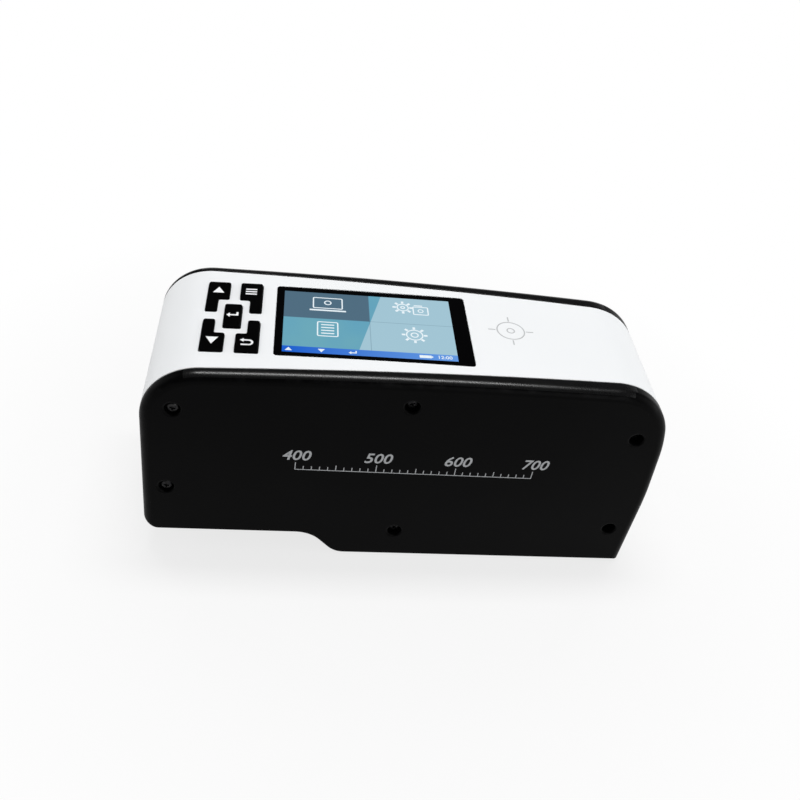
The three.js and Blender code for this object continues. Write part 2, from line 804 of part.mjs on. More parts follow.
function addSideCover(name, side) {
  const envelope = sideCoverEnvelope(side);
  const slip = body.wall + gap;
  const tongueSolid = loft([
    ringAt(outline(slip), (x) => side * (seamAt(x) - tongue.reach)),
    ringAt(outline(slip), (x) => side * (seamAt(x) + overrun)),
  ]);
  const cavity = loft([
    ringAt(outline(slip + tongue.thickness), (x) => side * (seamAt(x) - tongue.reach - overrun)),
    ringAt(outline(slip + tongue.thickness), (x) => side * (sideAt(x) - body.wall)),
  ]);
  const shell = cut(envelope.add(toSolid(tongueSolid)), cavity);
  const beyond = side * (body.rearWidth / 2 + overrun);
  const along = (x, start) => [side * (seamAt(x) + start), beyond].sort((a, b) => a - b);
  const barsOf = (radius, start, facets) =>
    sideScrewSpots.map(({ x, z }) => crossways(radius, along(x, start), x, z, facets));
  const tubes = barsOf(well.radius + well.wall, 0);
  const bores = barsOf(well.radius, well.floor);
  const holes = barsOf(sideScrew.shankRadius + gap, -overrun, sides.small);
  const solid = cut(shell.add(join(...tubes).intersect(envelope)), ...bores, ...holes);
  model.add(piece(name, solid, blackPlastic));
}

// Cross-slotted screw along Z: the head's underside is Z = 0, the shank points down
function crossScrew({ shankRadius, headRadius, headHeight, bite }, drive) {
  const head = upright(headRadius, [0, headHeight], 0, 0, sides.small);
  const shank = upright(shankRadius, [-bite, headHeight / 2], 0, 0, sides.small);
  const slot = [headHeight - drive.depth, headHeight + overrun];
  const slots = [
    block(centred(drive.length), centred(drive.width), slot),
    block(centred(drive.width), centred(drive.length), slot),
  ];
  return cut(join(head, shank), ...slots);
}

function addSideScrews() {
  const drive = { width: sideScrew.driveWidth, length: sideScrew.driveLength, depth: sideScrew.driveDepth };
  const bite = sideScrew.bite + well.floor + gap;
  for (const [label, side] of [["right", -1], ["left", 1]]) {
    sideScrewSpots.forEach(({ x, z }, i) => {
      const screw = piece(`${label}_screw_${i + 1}`, crossScrew({ ...sideScrew, bite }, drive), steel);
      screw.position.set(x, side * (seamAt(x) + well.floor + gap), z);
      screw.rotation.x = (-side * Math.PI) / 2;
      model.add(screw);
    });
  }
}

function addMainBoard() {
  const bed = boardLevel + mainBoard.thickness / 2;
  const board = block(centred(mainBoard.length, boardX), centred(boardWidth), [boardLevel, boardTop]);
  const chip = block(centred(mainBoard.chipSide, boardX), centred(mainBoard.chipSide), [
    boardLevel - mainBoard.chipHeight,
    bed,
  ]);
  const socket = block(
    centred(mainBoard.socketLength, boardX),
    centred(mainBoard.socketWidth, mainBoard.chipSide),
    [boardLevel - mainBoard.socketHeight, bed],
  );
  const holeRadius = mainBoard.screwShankRadius + gap;
  const holeSpan = [boardLevel - overrun, boardTop + overrun];
  const holes = boardPosts.map(([x, y]) => upright(holeRadius, holeSpan, x, y, sides.small));
  model.add(piece("main_board", cut(join(board, chip, socket), ...holes), boardGreen));
  boardPosts.forEach(([x, y], i) => {
    const head = upright(mainBoard.screwHeadRadius, [-mainBoard.screwHeadHeight, 0], 0, 0, sides.small);
    const shankSpan = [-mainBoard.screwHeadHeight / 2, mainBoard.thickness + mainBoard.screwBite];
    const shank = upright(mainBoard.screwShankRadius, shankSpan, 0, 0, sides.small);
    const screw = piece(`board_screw_${i + 1}`, join(head, shank), steel);
    screw.position.set(x, y, boardLevel - gap);
    model.add(screw);
  });
}

// Integrating sphere in two halves with square flanges
const sphereOuter = optics.sphereRadius + optics.sphereWall;

function hemisphere() {
  const arc = Array.from({ length: sides.dome + 1 }, (_, k) => {
    const angle = (k / sides.dome) * (Math.PI / 2);
    return [sphereOuter * Math.cos(angle), sphereOuter * Math.sin(angle)];
  });
  return turned([[0, 0], ...arc]);
}

function flangeBlock() {
  return block(centred(optics.flangeSide), centred(optics.flangeSide), [0, optics.flangeThickness]);
}

function flangeHoles() {
  const span = [-overrun, optics.flangeThickness + overrun];
  const radius = baseScrew.shankRadius + gap;
  return pillarSpots.map(([x, y]) => upright(radius, span, x - opticsX, y, sides.small));
}

function sphereHollow() {
  return new THREE.SphereGeometry(optics.sphereRadius, sides.fine, sides.sphereRings).rotateX(Math.PI / 2);
}

// Round bar from the sphere's centre outwards, leaning by an angle from the vertical towards +X
function spoke(radius, reach, angle, facets = sides.round) {
  return upright(radius, [0, reach], 0, 0, facets).rotateY(THREE.MathUtils.degToRad(angle));
}

function addSphere() {
  const port = upright(optics.portRadius, [0, sphereOuter + overrun]);
  const lower = cut(join(hemisphere(), flangeBlock()), sphereHollow(), port, ...flangeHoles());
  const lowerHalf = piece("sphere_lower", lower, sphereWhite);
  lowerHalf.rotation.x = Math.PI;
  lowerHalf.position.z = -gap / 2;
  sphereGroup.add(lowerHalf);

  const stub = spoke(optics.stubRadius, optics.stubReach, optics.viewAngle);
  const lampStub = spoke(optics.lampStubRadius, optics.stubReach, optics.lampAngle);
  const ports = [
    spoke(optics.viewPortRadius, optics.stubReach + overrun, optics.viewAngle),
    spoke(optics.lampPortRadius, optics.stubReach + overrun, optics.lampAngle),
  ];
  const below = block(centred(optics.flangeSide), centred(optics.flangeSide), [-sphereOuter, 0]);
  const whole = join(hemisphere(), stub, lampStub, flangeBlock());
  const upper = cut(whole, sphereHollow(), ...ports, ...flangeHoles(), below);
  const upperHalf = piece("sphere_upper", upper, sphereWhite);
  upperHalf.position.z = gap / 2;
  sphereGroup.add(upperHalf);
}

function addLamp() {
  const board = upright(lamp.boardRadius, [0, lamp.boardThickness]);
  const led = upright(lamp.ledRadius, [-lamp.ledHeight, lamp.boardThickness / 2], 0, 0, sides.small);
  const mesh = piece("lamp_board", join(board, led), boardGreen);
  const angle = THREE.MathUtils.degToRad(optics.lampAngle);
  const reach = optics.stubReach + gap;
  mesh.rotation.y = angle;
  mesh.position.set(reach * Math.sin(angle), 0, reach * Math.cos(angle) + gap / 2);
  sphereGroup.add(mesh);
}

// Lens barrel, lens and spectrometer, along the viewing axis
const barrelBottom = optics.stubReach + 2 * gap;
const barrelTop = barrelBottom + barrel.length;
const housingBottom = barrelTop + gap;
const housingTop = housingBottom + spectrometer.height;
const housingFloor = housingBottom + spectrometer.wall;

function addBarrel() {
  const tube = upright(barrel.radius, [barrelBottom, barrelTop]);
  const bore = upright(barrel.bore, [barrelBottom - overrun, barrelTop + overrun]);
  const pocketBore = upright(lens.radius + gap, [barrelTop - lens.pocketDepth, barrelTop + overrun]);
  viewGroup.add(piece("lens_barrel", cut(toSolid(tube), bore, pocketBore), anodised));
}

function addLens() {
  const seat = barrelTop - lens.pocketDepth + gap / 2 + lens.crown;
  const bulge = (lens.radius ** 2 + lens.crown ** 2) / (2 * lens.crown);
  const sweep = Math.asin(lens.radius / bulge);
  const lowFace = Array.from({ length: sides.lensFace + 1 }, (_, k) => {
    const angle = (sweep * k) / sides.lensFace;
    return [bulge * Math.sin(angle), seat - lens.crown + bulge * (1 - Math.cos(angle))];
  });
  const rim = seat + lens.edge;
  const section = [...lowFace, [lens.radius, rim], [0, rim]];
  viewGroup.add(piece("objective_lens", toSolid(turned(section, sides.round)), glass));
}

function addSpectrometer() {
  const along = centred(spectrometer.length);
  const across = centred(spectrometer.width);
  const outside = block(along, across, [housingBottom, housingTop]);
  const hollow = block(
    centred(spectrometer.length - 2 * spectrometer.wall),
    centred(spectrometer.width - 2 * spectrometer.wall),
    [housingFloor, housingTop + overrun],
  );
  const entry = upright(spectrometer.entryRadius, [housingBottom - overrun, housingFloor + overrun]);
  viewGroup.add(piece("spectrometer_housing", cut(toSolid(outside), hollow, entry), anodised));

  const lidBottom = housingTop + gap;
  const lid = block(along, across, [lidBottom, lidBottom + spectrometer.coverThickness]);
  viewGroup.add(piece("spectrometer_cover", toSolid(lid), anodised));

  const tilt = THREE.MathUtils.degToRad(spectrometer.gratingTilt);
  const rise = spectrometer.gratingSide * Math.sin(tilt) + spectrometer.gratingThickness * Math.cos(tilt);
  const edge = centred(spectrometer.gratingSide);
  const tile = block(edge, edge, centred(spectrometer.gratingThickness));
  const grating = piece("diffraction_grating", toSolid(tile), gratingFoil);
  grating.rotation.y = tilt;
  grating.position.set(spectrometer.gratingX, 0, housingFloor + gap + rise / 2);
  viewGroup.add(grating);

  const sensorX = spectrometer.wall + spectrometer.sensorBoardInset - spectrometer.length / 2;
  const middle = (housingFloor + housingTop) / 2;
  const board = block(
    centred(spectrometer.sensorBoardThickness, sensorX),
    centred(spectrometer.sensorBoardWidth),
    [housingFloor + gap, housingTop - gap],
  );
  const chip = block(
    [sensorX, sensorX + spectrometer.sensorBoardThickness / 2 + spectrometer.sensorDepth],
    centred(spectrometer.sensorLength),
    centred(spectrometer.sensorHeight, middle),
  );
  viewGroup.add(piece("sensor_board", join(board, chip), boardGreen));
}

function addAperture() {
  const shoulder = aperture.setback + aperture.flangeThickness;
  const points = [
    [aperture.radius, aperture.setback],
    [aperture.flangeRadius, aperture.setback],
    [aperture.flangeRadius, shoulder],
    [aperture.collarRadius, shoulder],
    [aperture.collarRadius, aperture.collarTop],
    [aperture.throatRadius, aperture.collarTop],
  ];
  const ring = piece("aperture_ring", toSolid(turned([...points, points[0]])), blackPlastic);
  ring.position.x = opticsX;
  model.add(ring);

  const sphereFoot = optics.level - gap / 2 - Math.sqrt(sphereOuter ** 2 - optics.portRadius ** 2);
  const low = aperture.collarTop + gap / 2;
  const high = sphereFoot - gap / 2;
  const washer = [
    [gasket.innerRadius, low],
    [gasket.outerRadius, low],
    [gasket.outerRadius, high],
    [gasket.innerRadius, high],
    [gasket.innerRadius, low],
  ];
  const gasketRing = piece("port_gasket", toSolid(turned(washer, sides.round)), seal);
  gasketRing.position.x = opticsX;
  model.add(gasketRing);
}

function addBaseScrews() {
  const headBottom = baseScrew.recess;
  const headTop = headBottom + baseScrew.headHeight;
  const driveTop = headBottom + baseScrew.driveDepth;
  const tip = optics.level + optics.flangeThickness;
  pillarSpots.forEach(([x, y], i) => {
    const head = upright(baseScrew.headRadius, [headBottom, headTop]);
    const shank = upright(baseScrew.shankRadius, [driveTop, tip], 0, 0, sides.small);
    const drive = upright(baseScrew.driveAcross / 2, [headBottom - overrun, driveTop], 0, 0, sides.hexagon);
    const screw = piece(`base_screw_${i + 1}`, cut(join(head, shank), drive), steel);
    screw.position.set(x, y, 0);
    model.add(screw);
  });
}

function addBattery() {
  const low = profile.undersideHeight + door.thickness + gap;
  const pack = plate(roundedOblong(battery.width, battery.height, battery.corner), centred(battery.length));
  pack.rotateZ(Math.PI / 2).rotateY(Math.PI / 2).translate(bayMiddleX, 0, low + battery.height / 2);
  model.add(piece("battery_pack", toSolid(pack), batteryWrap));

  const cover = plate(roundedOblong(door.length, door.width, door.corner), [
    profile.undersideHeight,
    profile.undersideHeight + door.thickness,
  ]);
  cover.translate(doorMiddleX, 0, 0);
  const sunk = profile.undersideHeight + door.headHeight;
  const holes = doorScrewSpots.flatMap(([x, y]) => [
    upright(door.shankRadius + gap, [profile.undersideHeight - overrun, undersideTop], x, y, sides.small),
    upright(door.headRadius + gap, [profile.undersideHeight - overrun, sunk], x, y, sides.small),
  ]);
  model.add(piece("battery_door", cut(toSolid(cover), ...holes), blackPlastic));

  doorScrewSpots.forEach(([x, y], i) => {
    const headTop = sunk - gap / 2;
    const head = upright(door.headRadius, [headTop - door.headHeight / 2, headTop], 0, 0, sides.small);
    const tip = undersideTop + door.bossHeight - 2 * gap;
    const shankBottom = headTop - door.headHeight * door.headJoinShare;
    const shank = upright(door.shankRadius, [shankBottom, tip], 0, 0, sides.small);
    const screw = piece(`door_screw_${i + 1}`, join(head, shank), steel);
    screw.position.set(x, y, 0);
    model.add(screw);
  });
}

// Rear sockets and power switch
const panelFront = rearX + body.wall + gap;
const panelBack = panelFront + portPanel.thickness;
const portBoardFront = panelFront + usb.depth + gap;

function usbOutline(grow) {
  const radius = usb.thickness / 2 + grow;
  return roundedOblong(usb.thickness + 2 * grow, usb.width + 2 * grow, radius * usb.endRoundShare);
}

// Plate in the YZ plane: the shape's first axis becomes -Z
function standingPlate(shape, span, z) {
  return plate(shape, span).rotateY(Math.PI / 2).translate(0, 0, z);
}

function addPortPanel() {
  const sheet = block(
    [panelFront, panelBack],
    centred(portPanel.width),
    centred(portPanel.height, portPanel.centreHeight),
  );
  const standoffSpan = [panelFront + gap, portBoardFront - gap];
  const standoffs = [-1, 1].map((side) => {
    const y = side * portPanel.standoffY;
    return lengthways(portPanel.standoffRadius, standoffSpan, y, jack.height, sides.small);
  });
  const through = [panelFront - overrun, panelBack + overrun];
  const usbHole = standingPlate(usbOutline(gap), through, usb.height);
  const jackSide = jack.width + 2 * gap;
  const jackHole = block(through, centred(jackSide), centred(jackSide, jack.height));
  const switchHole = block(
    through,
    centred(powerSwitch.bodyWidth + 2 * gap),
    centred(powerSwitch.bodyHeight + 2 * gap, powerSwitch.height),
  );
  const solid = cut(join(sheet, ...standoffs), usbHole, jackHole, switchHole);
  model.add(piece("port_panel", solid, blackPlastic));
}

function addSockets() {
  const usbBack = panelFront + usb.depth;
  const shell = standingPlate(usbOutline(0), [panelFront, usbBack], usb.height);
  const mouthSpan = [panelFront - overrun, usbBack - usb.backWall];
  const mouth = standingPlate(usbOutline(-usb.shell), mouthSpan, usb.height);
  const blade = block(
    [panelFront + usb.shell, usbBack - usb.backWall / 2],
    centred(usb.tongueWidth),
    centred(usb.tongueThickness, usb.height),
  );
  model.add(piece("usb_port", cut(toSolid(shell), mouth).add(toSolid(blade)), socketMetal));

  const jackBack = panelFront + jack.depth;
  const housing = block([panelFront, jackBack], centred(jack.width), centred(jack.width, jack.height));
  const boreSpan = [panelFront - overrun, jackBack - jack.backWall];
  const bore = lengthways(jack.boreRadius, boreSpan, 0, jack.height, sides.small);
  const pinSpan = [panelFront + jack.pinRecess, jackBack - jack.backWall / 2];
  const pin = lengthways(jack.pinRadius, pinSpan, 0, jack.height, sides.small);
  model.add(piece("dc_jack", cut(toSolid(housing), bore).add(toSolid(pin)), trayPlastic));

  const board = block([portBoardFront, portBoardFront + portBoard.thickness], centred(portBoard.width), [
    usb.height - portBoard.belowUsb,
    jack.height + portBoard.aboveJack,
  ]);
  model.add(piece("port_board", toSolid(board), boardGreen));
}

const pivotX = panelFront + powerSwitch.pivotDepth;

function addPowerSwitch() {
  const { height } = powerSwitch;
  const bezel = block(
    [panelFront - gap - powerSwitch.bezelThickness, panelFront - gap],
    centred(powerSwitch.bezelWidth),
    centred(powerSwitch.bezelHeight, height),
  );
  const back = panelFront + powerSwitch.bodyDepth;
  const bodyBlock = block(
    [panelFront - gap - powerSwitch.bezelThickness / 2, back],
    centred(powerSwitch.bodyWidth),
    centred(powerSwitch.bodyHeight, height),
  );
  const tabs = [-1, 1].map((v) =>
    block(
      [back - overrun, back + powerSwitch.tabLength],
      centred(powerSwitch.tabWidth),
      centred(powerSwitch.tabThickness, height + (v * powerSwitch.tabSpacing) / 2),
    ),
  );
  const cavity = block(
    [panelFront - overrun - powerSwitch.bezelThickness - gap, panelFront + powerSwitch.cavityDepth],
    centred(powerSwitch.cavityWidth),
    centred(powerSwitch.cavityHeight, height),
  );
  const boreRadius = powerSwitch.pinRadius + gap;
  const boreSpan = centred(powerSwitch.bodyWidth + overrun);
  const pinBore = crossways(boreRadius, boreSpan, pivotX, height, sides.small);
  const solid = cut(join(bezel, bodyBlock, ...tabs), cavity, pinBore);
  model.add(piece("power_switch", solid, trayPlastic));

  const paddle = block(
    [-powerSwitch.paddleFront, powerSwitch.paddleBack],
    centred(powerSwitch.paddleWidth),
    centred(powerSwitch.paddleHeight),
  );
  const pin = crossways(powerSwitch.pinRadius, centred(powerSwitch.bodyWidth - gap), 0, 0, sides.small);
  const rocker = piece("power_rocker", join(paddle, pin), blackPlastic);
  rocker.rotation.y = THREE.MathUtils.degToRad(-powerSwitch.tilt);
  rocker.position.set(pivotX, 0, height);
  model.add(rocker);
}

addTopCover();
addBaseCover();
addSideCover("right_side_cover", -1);
addSideCover("left_side_cover", 1);
addSideScrews();
addDisplay();
addKeys();
addKeySwitches();
addKeypadBoard();
addMainBoard();
addSphere();
addLamp();
addBarrel();
addLens();
addSpectrometer();
addAperture();
addBaseScrews();
addBattery();
addPortPanel();
addSockets();
addPowerSwitch();

export default model;
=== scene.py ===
# Hand-held reflectance colorimeter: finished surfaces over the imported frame
# Metres, +X to the nose, +Y to the left side cover, +Z up
import math

import bmesh
import bpy
from mathutils import Matrix, Quaternion, Vector


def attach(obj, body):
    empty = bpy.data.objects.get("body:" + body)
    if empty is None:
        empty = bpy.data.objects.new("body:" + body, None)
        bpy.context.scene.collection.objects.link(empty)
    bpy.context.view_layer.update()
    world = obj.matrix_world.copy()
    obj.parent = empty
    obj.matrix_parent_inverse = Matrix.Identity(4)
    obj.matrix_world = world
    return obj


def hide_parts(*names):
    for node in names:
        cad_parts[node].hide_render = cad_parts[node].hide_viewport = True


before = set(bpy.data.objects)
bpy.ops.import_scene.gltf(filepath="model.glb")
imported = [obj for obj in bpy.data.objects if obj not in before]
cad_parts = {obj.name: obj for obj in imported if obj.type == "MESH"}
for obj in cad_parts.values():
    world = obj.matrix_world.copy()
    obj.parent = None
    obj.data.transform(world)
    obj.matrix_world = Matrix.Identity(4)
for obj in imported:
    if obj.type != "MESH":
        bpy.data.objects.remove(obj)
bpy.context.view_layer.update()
scene = bpy.context.scene
scene.view_settings.view_transform = "Standard"
print("frame loaded:", len(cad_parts), "nodes")


# Camera at the photograph's angle
cameraView = {
    "azimuth": 10.495,  # degrees from +Y towards +X
    "elevation": 39.824,  # degrees above the horizon
    "roll": 10.7054,
    "lens": 41.5904,  # millimetres on a 36 mm sensor
    "place": (-0.056154, -0.289093, 0.302792),
}


def addCamera():
    azimuth = math.radians(cameraView["azimuth"])
    elevation = math.radians(cameraView["elevation"])
    flat = math.cos(elevation)
    looking = Vector((math.sin(azimuth) * flat, math.cos(azimuth) * flat, -math.sin(elevation)))
    roll = Quaternion((0, 0, 1), math.radians(cameraView["roll"]))
    turn = (looking.to_track_quat("-Z", "Y") @ roll).to_matrix().to_4x4()
    data = bpy.data.cameras.new("photoCamera")
    data.lens = cameraView["lens"]
    data.sensor_width = 36
    data.clip_start = 0.01
    camera = bpy.data.objects.new("photoCamera", data)
    camera.matrix_world = Matrix.Translation(cameraView["place"]) @ turn
    scene.collection.objects.link(camera)
    scene.camera = camera


addCamera()
print("camera placed")


# Node helpers for the materials and the world
class Nodes:
    def __init__(self, owner):
        owner.use_nodes = True
        self.tree = owner.node_tree

    def add(self, kind, **settings):
        node = self.tree.nodes.new("ShaderNode" + kind)
        for name, value in settings.items():
            setattr(node, name, value)
        return node

    def feed(self, socket, value):  # an output, a number or a colour goes into a socket
        if isinstance(value, bpy.types.NodeSocket):
            self.tree.links.new(value, socket)
        else:
            socket.default_value = (*value, 1) if isinstance(value, tuple) else value

    def space(self, place=(0, 0, 0), turn=(0, 0, 0), scale=(1, 1, 1), kind="TEXTURE"):
        mapping = self.add("Mapping", vector_type=kind)
        for name, value in (("Location", place), ("Rotation", turn), ("Scale", scale)):
            mapping.inputs[name].default_value = value
        self.feed(mapping.inputs["Vector"], self.add("TexCoord").outputs["Object"])
        return mapping.outputs["Vector"]

    def noise(self, scale, detail=3.0, stretch=(1, 1, 1)):
        node = self.add("TexNoise")
        self.feed(node.inputs["Scale"], scale)
        self.feed(node.inputs["Detail"], detail)
        self.feed(node.inputs["Vector"], self.space(scale=stretch, kind="POINT"))
        return node.outputs[0]

    def cells(self, scale, feature="F1"):
        node = self.add("TexVoronoi", feature=feature)
        self.feed(node.inputs["Scale"], scale)
        self.feed(node.inputs["Vector"], self.space())
        return node.outputs["Distance"]

    def rows(self, scale, space=None):
        node = self.add("TexWave", bands_direction="Y")
        self.feed(node.inputs["Scale"], scale)
        self.feed(node.inputs["Vector"], space or self.space())
        return node.outputs[1]

    def ranged(self, source, low, high, start=0.3, end=0.7):
        node = self.add("MapRange")
        for name, value in (("Value", source), ("From Min", start), ("From Max", end), ("To Min", low),
                            ("To Max", high)):
            self.feed(node.inputs[name], value)
        return node.outputs["Result"]

    def calc(self, operation, first, second=0):
        node = self.add("Math", operation=operation)
        self.feed(node.inputs[0], first)
        self.feed(node.inputs[1], second)
        return node.outputs["Value"]

    def blend(self, factor, first, second):
        node = self.add("Mix", data_type="RGBA")
        for socket, value in zip((node.inputs["Factor"], *node.inputs[6:8]), (factor, first, second)):
            self.feed(socket, value)
        return node.outputs[2]

    def bump(self, shader, height, distance, strength):  # added on top of the bumps before it
        node = self.add("Bump")
        normal = shader.inputs["Normal"]
        for name, value in (("Strength", strength), ("Distance", distance), ("Height", height)):
            self.feed(node.inputs[name], value)
        if normal.is_linked:
            self.feed(node.inputs["Normal"], normal.links[0].from_socket)
        self.feed(normal, node.outputs["Normal"])


def startMaterial(name, color, roughness, metallic=0.0, specular=0.5):
    material = bpy.data.materials.new(name)
    nodes = Nodes(material)
    shader = nodes.tree.nodes["Principled BSDF"]
    for socket, value in (("Base Color", color), ("Roughness", roughness), ("Metallic", metallic),
                          ("Specular IOR Level", specular)):
        nodes.feed(shader.inputs[socket], value)
    return material, nodes, shader


# Finishes. Tone mixes the two colours, grain sets the roughness, bump is the grain's depth and strength,
# relief is a noise of its own with a depth and a strength. A noise is its scale, detail and stretch.
paint = {"tone": (3500, 3), "grain": ("noise", 3500, 3), "relief": (5200, 2, 0.000004, 0.5)}
scratched = {"grain": ("noise", 900, 4, (1, 6, 6))}
coverLook = {
    "colors": ((0.0008, 0.0008, 0.0009), (0.0014, 0.0014, 0.0015)), "toneScale": 22, "grainScale": 1900,
}
coverWear = {
    "half": 0.0343, "taper": 0.02488, "to": (-0.0007, -0.0001), "scale": 190,
    "color": (0.0048, 0.0048, 0.005), "share": 0.8,
}
plastics = {
    "whitePlastic": {
        "colors": ((0.845, 0.86, 0.872), (0.825, 0.84, 0.853)), "specular": 0.35, "roughness": (0.34, 0.44),
        "toneScale": 14, "grainScale": 2300, "grainDepth": 0.000006,
        "wear": {"half": 0.027975, "taper": 0.03976, "from": (-0.0009, -0.0003), "to": (0.0002, 0.0004),
                 "scale": 120, "color": (0.72, 0.72, 0.71), "roughness": 0.52, "share": 0.5},
    },
    "coverPlastic": {
        **coverLook, "specular": 0.032, "roughness": (0.31, 0.38), "grainDepth": 0.000009,
        "wear": {**coverWear, "from": (-0.0034, -0.0016), "roughness": 0.22},
    },
    "coverRidge": {  # smoother top edge of the side covers
        **coverLook, "specular": 0.36, "roughness": (0.27, 0.33), "grainDepth": 0.000006,
        "wear": {**coverWear, "from": (-0.0040, -0.0022), "roughness": 0.2},
    },
    "keyPlastic": {
        "colors": ((0.0006, 0.0006, 0.0007), (0.0011, 0.0011, 0.0012)), "specular": 0.016,
        "roughness": (0.38, 0.50), "toneScale": 60, "grainScale": 2600, "grainDepth": 0.00001,
    },
    "portPlastic": {
        "colors": ((0.012, 0.012, 0.0125), (0.018, 0.018, 0.019)), "specular": 0.3,
        "roughness": (0.4, 0.52), "toneScale": 70, "grainScale": 2400, "grainDepth": 0.000012,
    },
    "innerPlastic": {
        "colors": ((0.024, 0.025, 0.027), (0.034, 0.035, 0.038)), "specular": 0.4,
        "roughness": (0.45, 0.6), "toneScale": 50, "grainScale": 1700, "grainDepth": 0.00002,
    },
}
for look in plastics.values():
    look["tone"] = (look["toneScale"], 4)
    look["grain"] = ("noise", look["grainScale"], 2)
    look["bump"] = (look["grainDepth"], 0.6)
    look["relief"] = (look["toneScale"] * 3, 2, 0.00004, 0.2)
    look["smudges"] = (150, 3, 0.02)
finishes = {
    **plastics,
    "silverPaint": {
        **paint, "colors": ((0.40, 0.41, 0.42), (0.32, 0.33, 0.34)), "metallic": 0.35,
        "roughness": (0.37, 0.50),
    },
    "greyPaint": {**paint, "colors": ((0.50, 0.51, 0.52), (0.46, 0.47, 0.48)), "roughness": (0.45, 0.58)},
    "signPaint": {**paint, "colors": ((0.86, 0.87, 0.88), (0.80, 0.81, 0.83)), "roughness": (0.45, 0.58)},
    "blackenedSteel": {
        **scratched, "colors": ((0.011, 0.011, 0.012), (0.045, 0.044, 0.043)), "metallic": 0.9,
        "tone": (700, 5), "toneFrom": (0.45, 0.75), "roughness": (0.3, 0.48), "bump": (0.000008, 0.4),
    },
    "screwSteel": {
        **scratched, "colors": ((0.15, 0.15, 0.155), (0.24, 0.24, 0.25)), "metallic": 1.0, "tone": (420, 5),
        "roughness": (0.26, 0.44), "bump": (0.00001, 0.4),
    },
    "socketMetal": {
        "colors": ((0.50, 0.50, 0.49), (0.62, 0.62, 0.61)), "metallic": 1.0, "tone": (160, 3),
        "grain": ("noise", 700, 4, (0.15, 1, 1)), "roughness": (0.2, 0.36), "bump": (0.000006, 0.4),
    },
    "anodisedBlack": {
        "colors": ((0.010, 0.010, 0.012), (0.018, 0.018, 0.021)), "metallic": 0.6, "tone": (90, 3),
        "grain": ("noise", 2600, 3), "roughness": (0.36, 0.52), "bump": (0.000014, 0.6),
    },
    "windowBlack": {
        "colors": ((0.0006, 0.0006, 0.0008), (0.0011, 0.0011, 0.0013)), "specular": 0.08, "tone": (40, 2),
        "grain": ("noise", 120, 4), "roughness": (0.05, 0.10), "relief": (55, 1, 0.000006, 0.15),
    },
    "gratingFoil": {
        "colors": ((0.55, 0.62, 0.74), (0.70, 0.62, 0.66)), "metallic": 0.9, "tone": (190, 2),
        "grain": ("rows", 2200), "roughness": (0.16,), "bump": (0.000006, 0.6),
    },
    "sphereWhite": {
        "colors": ((0.87, 0.87, 0.85), (0.92, 0.92, 0.90)), "specular": 0.2, "tone": (1500, 5),
        "grain": ("noise", 1500, 5), "roughness": (0.85,), "bump": (0.00004, 0.7),
    },
    "sealRubber": {
        "colors": ((0.008, 0.008, 0.008), (0.016, 0.016, 0.016)), "specular": 0.25, "tone": (260, 3),
        "grain": ("cells", 1400), "roughness": (0.78, 0.95, 0, 0.7), "bump": (0.00005, 0.7),
    },
    "batteryWrap": {
        "colors": ((0.028, 0.095, 0.29), (0.04, 0.12, 0.36)), "tone": (45, 3),
        "grain": ("noise", 230, 4, (0.35, 1, 1)), "roughness": (0.32, 0.52), "bump": (0.00012, 0.5),
    },
    "boardGreen": {
        "colors": ((0.010, 0.075, 0.026), (0.015, 0.10, 0.035)), "tone": (1900, 2),
        "grain": ("noise", 1900, 2), "roughness": (0.34, 0.5), "bump": (0.00001, 0.4),
        "tracks": {"scale": 420, "edge": (0.03, 0.09), "color": (0.035, 0.19, 0.06), "bump": (0.00003, 0.5)},
    },
    "panelFoil": {
        "colors": ((0.20, 0.36, 0.48), (0.26, 0.44, 0.56)), "tone": (60, 3),
        "grain": ("noise", 480, 3), "roughness": (0.24, 0.38),
    },
}
glass = {"color": (0.92, 0.96, 0.99), "ior": 1.52, "coat": 0.3, "roughness": (0.015, 0.05)}


def wornBand(nodes, wear):  # 1 in patches of a band at a distance from the middle plane that tapers with x
    split = nodes.add("SeparateXYZ")
    nodes.feed(split.inputs["Vector"], nodes.space())
    out = nodes.calc("ABSOLUTE", split.outputs["Y"])
    out = nodes.calc("ADD", out, nodes.calc("MULTIPLY", split.outputs["X"], wear["taper"]))
    out = nodes.calc("SUBTRACT", out, wear["half"])
    started, ended = nodes.ranged(out, 0, 1, *wear["from"]), nodes.ranged(out, 1, 0, *wear["to"])
    inside = nodes.calc("MULTIPLY", started, ended)
    patches = nodes.ranged(nodes.noise(wear["scale"], 5), 0, wear["share"], 0.46, 0.66)
    return nodes.calc("MULTIPLY", inside, patches)


